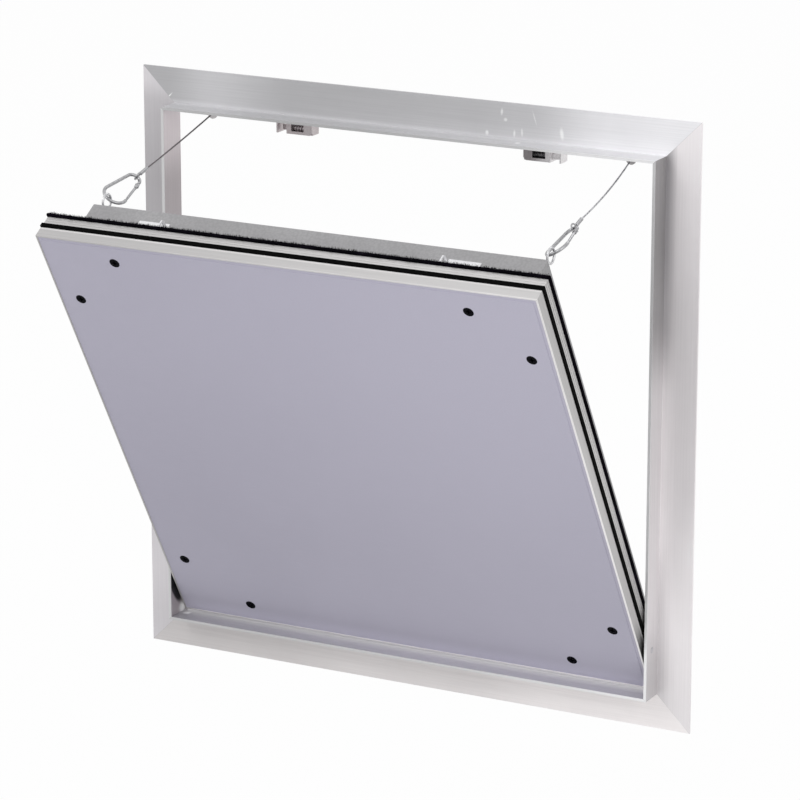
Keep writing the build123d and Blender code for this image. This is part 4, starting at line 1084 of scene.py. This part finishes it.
@dataclass
class PileFringe:
    """The loose fibres of the rear pile seal along the leaf's top edge, in metres on the shut leaf.

    Clump and drift are the wave numbers of the fringe's tufts and of their uneven spacing. Lean
    is how far forward and back the tips reach, lean_gain how soon they part off the middle, and
    falls_short the most by which a fibre ends below the reach.
    """

    half_width: float = 0.1975
    end_starts: float = 0.185
    end_length: float = 0.012
    tip_limit: float = 0.1999
    root_height: float = 0.1986
    reach: float = 0.19992
    groove: Pair = (0.0002, 0.0030)
    lean: Pair = (-0.0022, 0.0048)
    lean_gain: float = 3.0
    least_spread: float = 0.25
    between_tufts: float = 0.55
    count: int = 6000
    thickness: float = 0.00013
    ring_places: Triple = (0.0, 0.45, 1.0)
    ring_sizes: Triple = (1.0, 0.8, 0.1)
    clump: float = 610.0
    drift: float = 97.0
    drift_reach: float = 3.0
    falls_short: float = 0.0006
    slant: float = 0.0005
    end_slant: float = 0.0022
    bend: float = 0.0008
    seed: int = 7

    def points(self) -> np.ndarray:
        """Fibre rings: a root, a bent middle and a fine tip.

        A fibre's line is root + (tip - root) t, raised by t (1 - t) times its bend, and each ring
        is three points about that line, whose radius falls towards the tip.

        Returns:
            The points as (fibre, ring, corner, 3), for the open leaf.
        """
        rng = np.random.default_rng(self.seed)
        across = rng.uniform(-self.half_width, self.half_width, self.count)
        clump = 0.5 + 0.5 * np.sin(across * self.clump + self.drift_reach * np.sin(across * self.drift))
        end = np.clip((np.abs(across) - self.end_starts) / self.end_length, 0.0, 1.0)
        front, rear = self.groove
        back = rng.uniform(front, rear, self.count)
        side = (back - 0.5 * (front + rear)) / (rear - front)
        tuft = self.between_tufts + (1.0 - self.between_tufts) * clump
        spread = rng.uniform(self.least_spread, 1.0, self.count) * tuft
        target = np.where(side > 0.0, self.lean[1], self.lean[0])
        tip_back = back + (target - back) * spread * np.clip(np.abs(side) * self.lean_gain, 0.0, 1.0)
        tip_up = self.reach - rng.uniform(0.0, self.falls_short, self.count) * (1.0 - 0.5 * end)
        slant = rng.normal(0.0, self.slant, self.count)
        slant += np.sign(across) * end * rng.uniform(0.0, self.end_slant, self.count)
        tip_across = np.clip(across + slant, -self.tip_limit, self.tip_limit)
        root = np.stack([across, back, np.full(self.count, self.root_height)], axis=-1)
        tip = np.stack([tip_across, tip_back, tip_up], axis=-1)
        share = np.array(self.ring_places)[None, :, None]
        line = root[:, None] + (tip - root)[:, None] * share
        line[..., 2] += (share * (1.0 - share))[..., 0] * self.bend
        line[..., 2] = np.minimum(line[..., 2], self.reach)
        radius = self.thickness * np.array(self.ring_sizes)[None, :, None]
        angle = np.array([0.0, 2.0, 4.0]) * math.pi / 3.0
        ring = np.stack([np.cos(angle), np.sin(angle), np.zeros(3)], axis=-1)
        corners = line[:, :, None, :] + radius[..., None] * ring[None, None]
        return leaf_point(corners.reshape(-1, 3)).reshape(corners.shape)

    def build(self, material: bpy.types.Material) -> None:
        """Makes one closed piece of all the fibres: six walls and two ends to each.

        Args:
            material: the pile's finish.
        """
        first = np.arange(self.count)[:, None, None] * 9
        here = np.arange(6).reshape(2, 3)
        beside = np.roll(here, -1, axis=1)
        walls = np.stack([here, beside, beside + 3, here + 3], axis=-1).reshape(-1, 4)
        caps = np.array([[0, 2, 1], [6, 7, 8]])
        quads = (first + walls).reshape(-1, 4)
        ends = (first + caps).reshape(-1, 3)
        piece = faces_mesh("pile_fringe", self.points().reshape(-1, 3), (quads, ends))
        piece.data.materials.append(material)
        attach(piece, "door")
        LOG.info("made pile_fringe of %d fibres", self.count)


@dataclass
class Tether:
    """One safety cable with its snap hook, loop, ferrule and stop.

    Bow is how far the cable's middle hangs from the straight line, and first and last are the
    right cable's ends: behind the hook's ferrule and at the anchor's stop. All in metres.
    """

    side: str
    bow: Triple
    first: Triple = (0.175448, -0.084644, 0.171217)
    last: Triple = (0.171956, 0.006758, 0.195812)
    radius: float = 0.0006
    lay: float = 0.0075
    strands: int = 6
    points_to_strand: int = 8
    hollow: float = 0.20
    line_steps: int = 240
    rope_tone: Triple = (0.50, 0.50, 0.52)
    rope_dark: Triple = (0.09, 0.085, 0.09)
    rope_roughness: float = 0.34
    hook: TwistedWire = TwistedWire("hook_wire", (0.42, 0.42, 0.43), (0.25, 0.25, 0.26), 0.28)

    def route(self) -> np.ndarray:
        """The cable's line: the spline from the ferrule to the stop, drawn aside by its bow.

        Returns:
            Points read from the spline, in metres.
        """
        sign = np.array([-1.0 if self.side == "left" else 1.0, 1.0, 1.0])
        start = np.array(self.first) * sign
        end = np.array(self.last) * sign
        middle = 0.5 * (start + end) + 2.0 * np.array(self.bow)
        curve = bpy.data.curves.new("cable_line_" + self.side, "CURVE")
        curve.dimensions = "3D"
        spline = curve.splines.new("NURBS")
        spline.points.add(2)
        spline.points.foreach_set("co", np.hstack([np.stack([start, middle, end]), np.ones((3, 1))]).ravel())
        spline.order_u = 3
        spline.use_endpoint_u = True
        spline.resolution_u = self.line_steps
        line = bpy.data.objects.new("cable_line_" + self.side, curve)
        mesh = bpy.data.meshes.new_from_object(line)
        points = np.empty(len(mesh.vertices) * 3)
        mesh.vertices.foreach_get("co", points)
        bpy.data.objects.remove(line)
        bpy.data.curves.remove(curve)
        bpy.data.meshes.remove(mesh)
        return points.reshape(-1, 3)

    def rope(self, path: np.ndarray) -> np.ndarray:
        """The twisted rope's surface along a path.

        The reach at angle a and length s is the rope's radius times one less hollow plus hollow
        times the square root of |cos(strands / 2 (a - 2 pi s / lay))|, so round strands show.

        Args:
            path: rows of points, in metres.

        Returns:
            The points as (along, round, 3).
        """
        side, up = carried(path, np.array([1.0, 0.0, 0.0]))
        steps = np.linalg.norm(np.diff(path, axis=0), axis=1)
        length = np.concatenate([[0.0], np.cumsum(steps)])[:, None]
        turn = 2.0 * math.pi
        angle = np.linspace(0.0, turn, self.strands * self.points_to_strand, endpoint=False)[None, :]
        wave = np.abs(np.cos(self.strands / 2.0 * (angle - turn * length / self.lay)))
        reach = (self.radius * (1.0 - self.hollow + self.hollow * np.sqrt(wave)))[..., None]
        ring = np.cos(angle)[..., None] * side[:, None, :] + np.sin(angle)[..., None] * up[:, None, :]
        return path[:, None, :] + reach * ring

    def build(self, nodes: Nodes) -> None:
        """Makes the stranded cable and dresses the hook.

        Args:
            nodes: the CAD nodes by name.
        """
        name = "cable_strand_" + self.side
        finish = TwistedWire(name, self.rope_tone, self.rope_dark, self.rope_roughness)
        path = self.route()
        cable = surface_mesh("stranded_cable_" + self.side, self.rope(path))
        cable.data.materials.append(finish.make())
        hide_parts("safety_cable_" + self.side)
        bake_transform(cable)
        hook = self.hook.make()
        for name in ("snap_hook_", "hook_gate_", "gate_pin_", "cable_loop_", "cable_ferrule_"):
            dress(nodes[name + self.side], hook)


def background_rays(tree: bpy.types.NodeTree) -> Socket:
    """One for rays that show the background: camera, glossy and transmission.

    Args:
        tree: the material's or the world's nodes.

    Returns:
        The socket of ones and noughts.
    """
    path = tree.nodes.new("ShaderNodeLightPath")
    most = path.outputs["Is Camera Ray"]
    for name in ("Is Glossy Ray", "Is Transmission Ray"):
        larger = tree.nodes.new("ShaderNodeMath")
        larger.operation = "MAXIMUM"
        tree.links.new(most, larger.inputs[0])
        tree.links.new(path.outputs[name], larger.inputs[1])
        most = larger.outputs[0]
    return most


@dataclass(frozen=True)
class SoftLamp:
    """A square lamp that points at the panel: its place and width in metres, its power in watts."""

    name: str
    place: Triple
    power: float
    width: float = 1.8

    def hang(self) -> None:
        """Adds the lamp to the scene."""
        light = bpy.data.lights.new(self.name, "AREA")
        light.size = self.width
        light.energy = self.power
        lamp = bpy.data.objects.new(self.name, light)
        lamp.location = self.place
        lamp.rotation_euler = (-Vector(self.place)).to_track_quat("-Z", "Y").to_euler()
        bpy.context.scene.collection.objects.link(lamp)


@dataclass
class Studio:
    """Pale floor, soft lamps, a light world and the camera."""

    lamps: tuple[SoftLamp, ...] = (
        SoftLamp("key", (-1.6, -2.6, 2.6), 36.0),
        SoftLamp("fill", (2.6, -1.6, 1.2), 16.0),
        SoftLamp("back", (0.4, 2.4, 1.8), 14.0))
    floor_height: float = -0.42
    floor_reach: float = 30.0
    floor_tone: Triple = (0.86, 0.86, 0.86)
    floor_roughness: float = 0.9
    floor_gloss: float = 0.1
    floor_white: float = 0.965
    world_tone: tuple[float, float, float, float] = (0.98, 0.98, 1.0, 1.0)
    world_level: float = 0.62
    target: Triple = (-0.0107, 0.0, -0.0054)
    distance: float = 2.979
    azimuth: float = math.radians(27.50)
    elevation: float = math.radians(15.92)
    lens: float = 180.0
    sensor: float = 36.0

    def build(self) -> None:
        """Sets the floor, the world, the lamps and the camera."""
        self.floor()
        self.world()
        for lamp in self.lamps:
            lamp.hang()
        self.camera()
        bpy.context.scene.view_settings.view_transform = "Standard"

    def floor(self) -> None:
        """A wide plane that shows white to the camera and keeps a soft shadow."""
        reach, height = self.floor_reach, self.floor_height
        corners = [(-reach, -reach, height), (reach, -reach, height), (reach, reach, height),
                   (-reach, reach, height)]
        mesh = bpy.data.meshes.new("studio_floor")
        mesh.from_pydata(corners, [], [(0, 1, 2, 3)])
        plane = bpy.data.objects.new("studio_floor", mesh)
        bpy.context.scene.collection.objects.link(plane)
        recipe = Recipe("studio_floor")
        recipe.surface(Base_Color=self.floor_tone, Roughness=self.floor_roughness,
                       Specular_IOR_Level=self.floor_gloss)
        share = recipe.maths("MULTIPLY", background_rays(recipe.tree), self.floor_white)
        glow = recipe.add("ShaderNodeEmission", Strength=1.0)
        mix = recipe.add("ShaderNodeMixShader", Fac=share)
        recipe.feed(mix.inputs[1], recipe.shader.outputs[0])
        recipe.feed(mix.inputs[2], glow.outputs[0])
        recipe.feed(recipe.output.inputs["Surface"], mix.outputs[0])
        mesh.materials.append(recipe.material)

    def world(self) -> None:
        """An even light, shown white to the camera and in reflections."""
        world = bpy.data.worlds.new("studio")
        bpy.context.scene.world = world
        world.use_nodes = True
        tree = world.node_tree
        tree.nodes.clear()
        output = tree.nodes.new("ShaderNodeOutputWorld")
        mix = tree.nodes.new("ShaderNodeMixShader")
        even = tree.nodes.new("ShaderNodeBackground")
        even.inputs["Color"].default_value = self.world_tone
        even.inputs["Strength"].default_value = self.world_level
        white = tree.nodes.new("ShaderNodeBackground")
        white.inputs["Color"].default_value = (*WHITE, 1.0)
        tree.links.new(background_rays(tree), mix.inputs[0])
        tree.links.new(even.outputs[0], mix.inputs[1])
        tree.links.new(white.outputs[0], mix.inputs[2])
        tree.links.new(mix.outputs[0], output.inputs["Surface"])

    def camera(self) -> None:
        """The camera stands at the photograph's angle, aimed at the target."""
        back = np.array([math.sin(self.azimuth) * math.cos(self.elevation),
                         -math.cos(self.azimuth) * math.cos(self.elevation), math.sin(self.elevation)])
        view = bpy.data.cameras.new("camera")
        view.lens = self.lens
        view.sensor_width = self.sensor
        camera = bpy.data.objects.new("camera", view)
        camera.location = (np.array(self.target) + back * self.distance).tolist()
        camera.rotation_euler = Vector((-back).tolist()).to_track_quat("-Z", "Y").to_euler()
        bpy.context.scene.collection.objects.link(camera)
        bpy.context.scene.camera = camera


def main() -> None:
    """Builds the panel's sub-assemblies and the studio in order."""
    logging.basicConfig(level=logging.INFO, format="%(name)s: %(message)s")
    nodes = frame["nodes"]
    FixedFrame().build(nodes)
    Leaf().build(nodes)
    # The left cable's darker rope tone is painted shade on a copy of the right one.
    Tether("left", (0.0, 0.0, -0.0006), rope_tone=(0.17, 0.155, 0.16)).build(nodes)
    Tether("right", (0.0013, 0.0, -0.0013)).build(nodes)
    Studio().build()


if __name__ == "__main__":
    main()
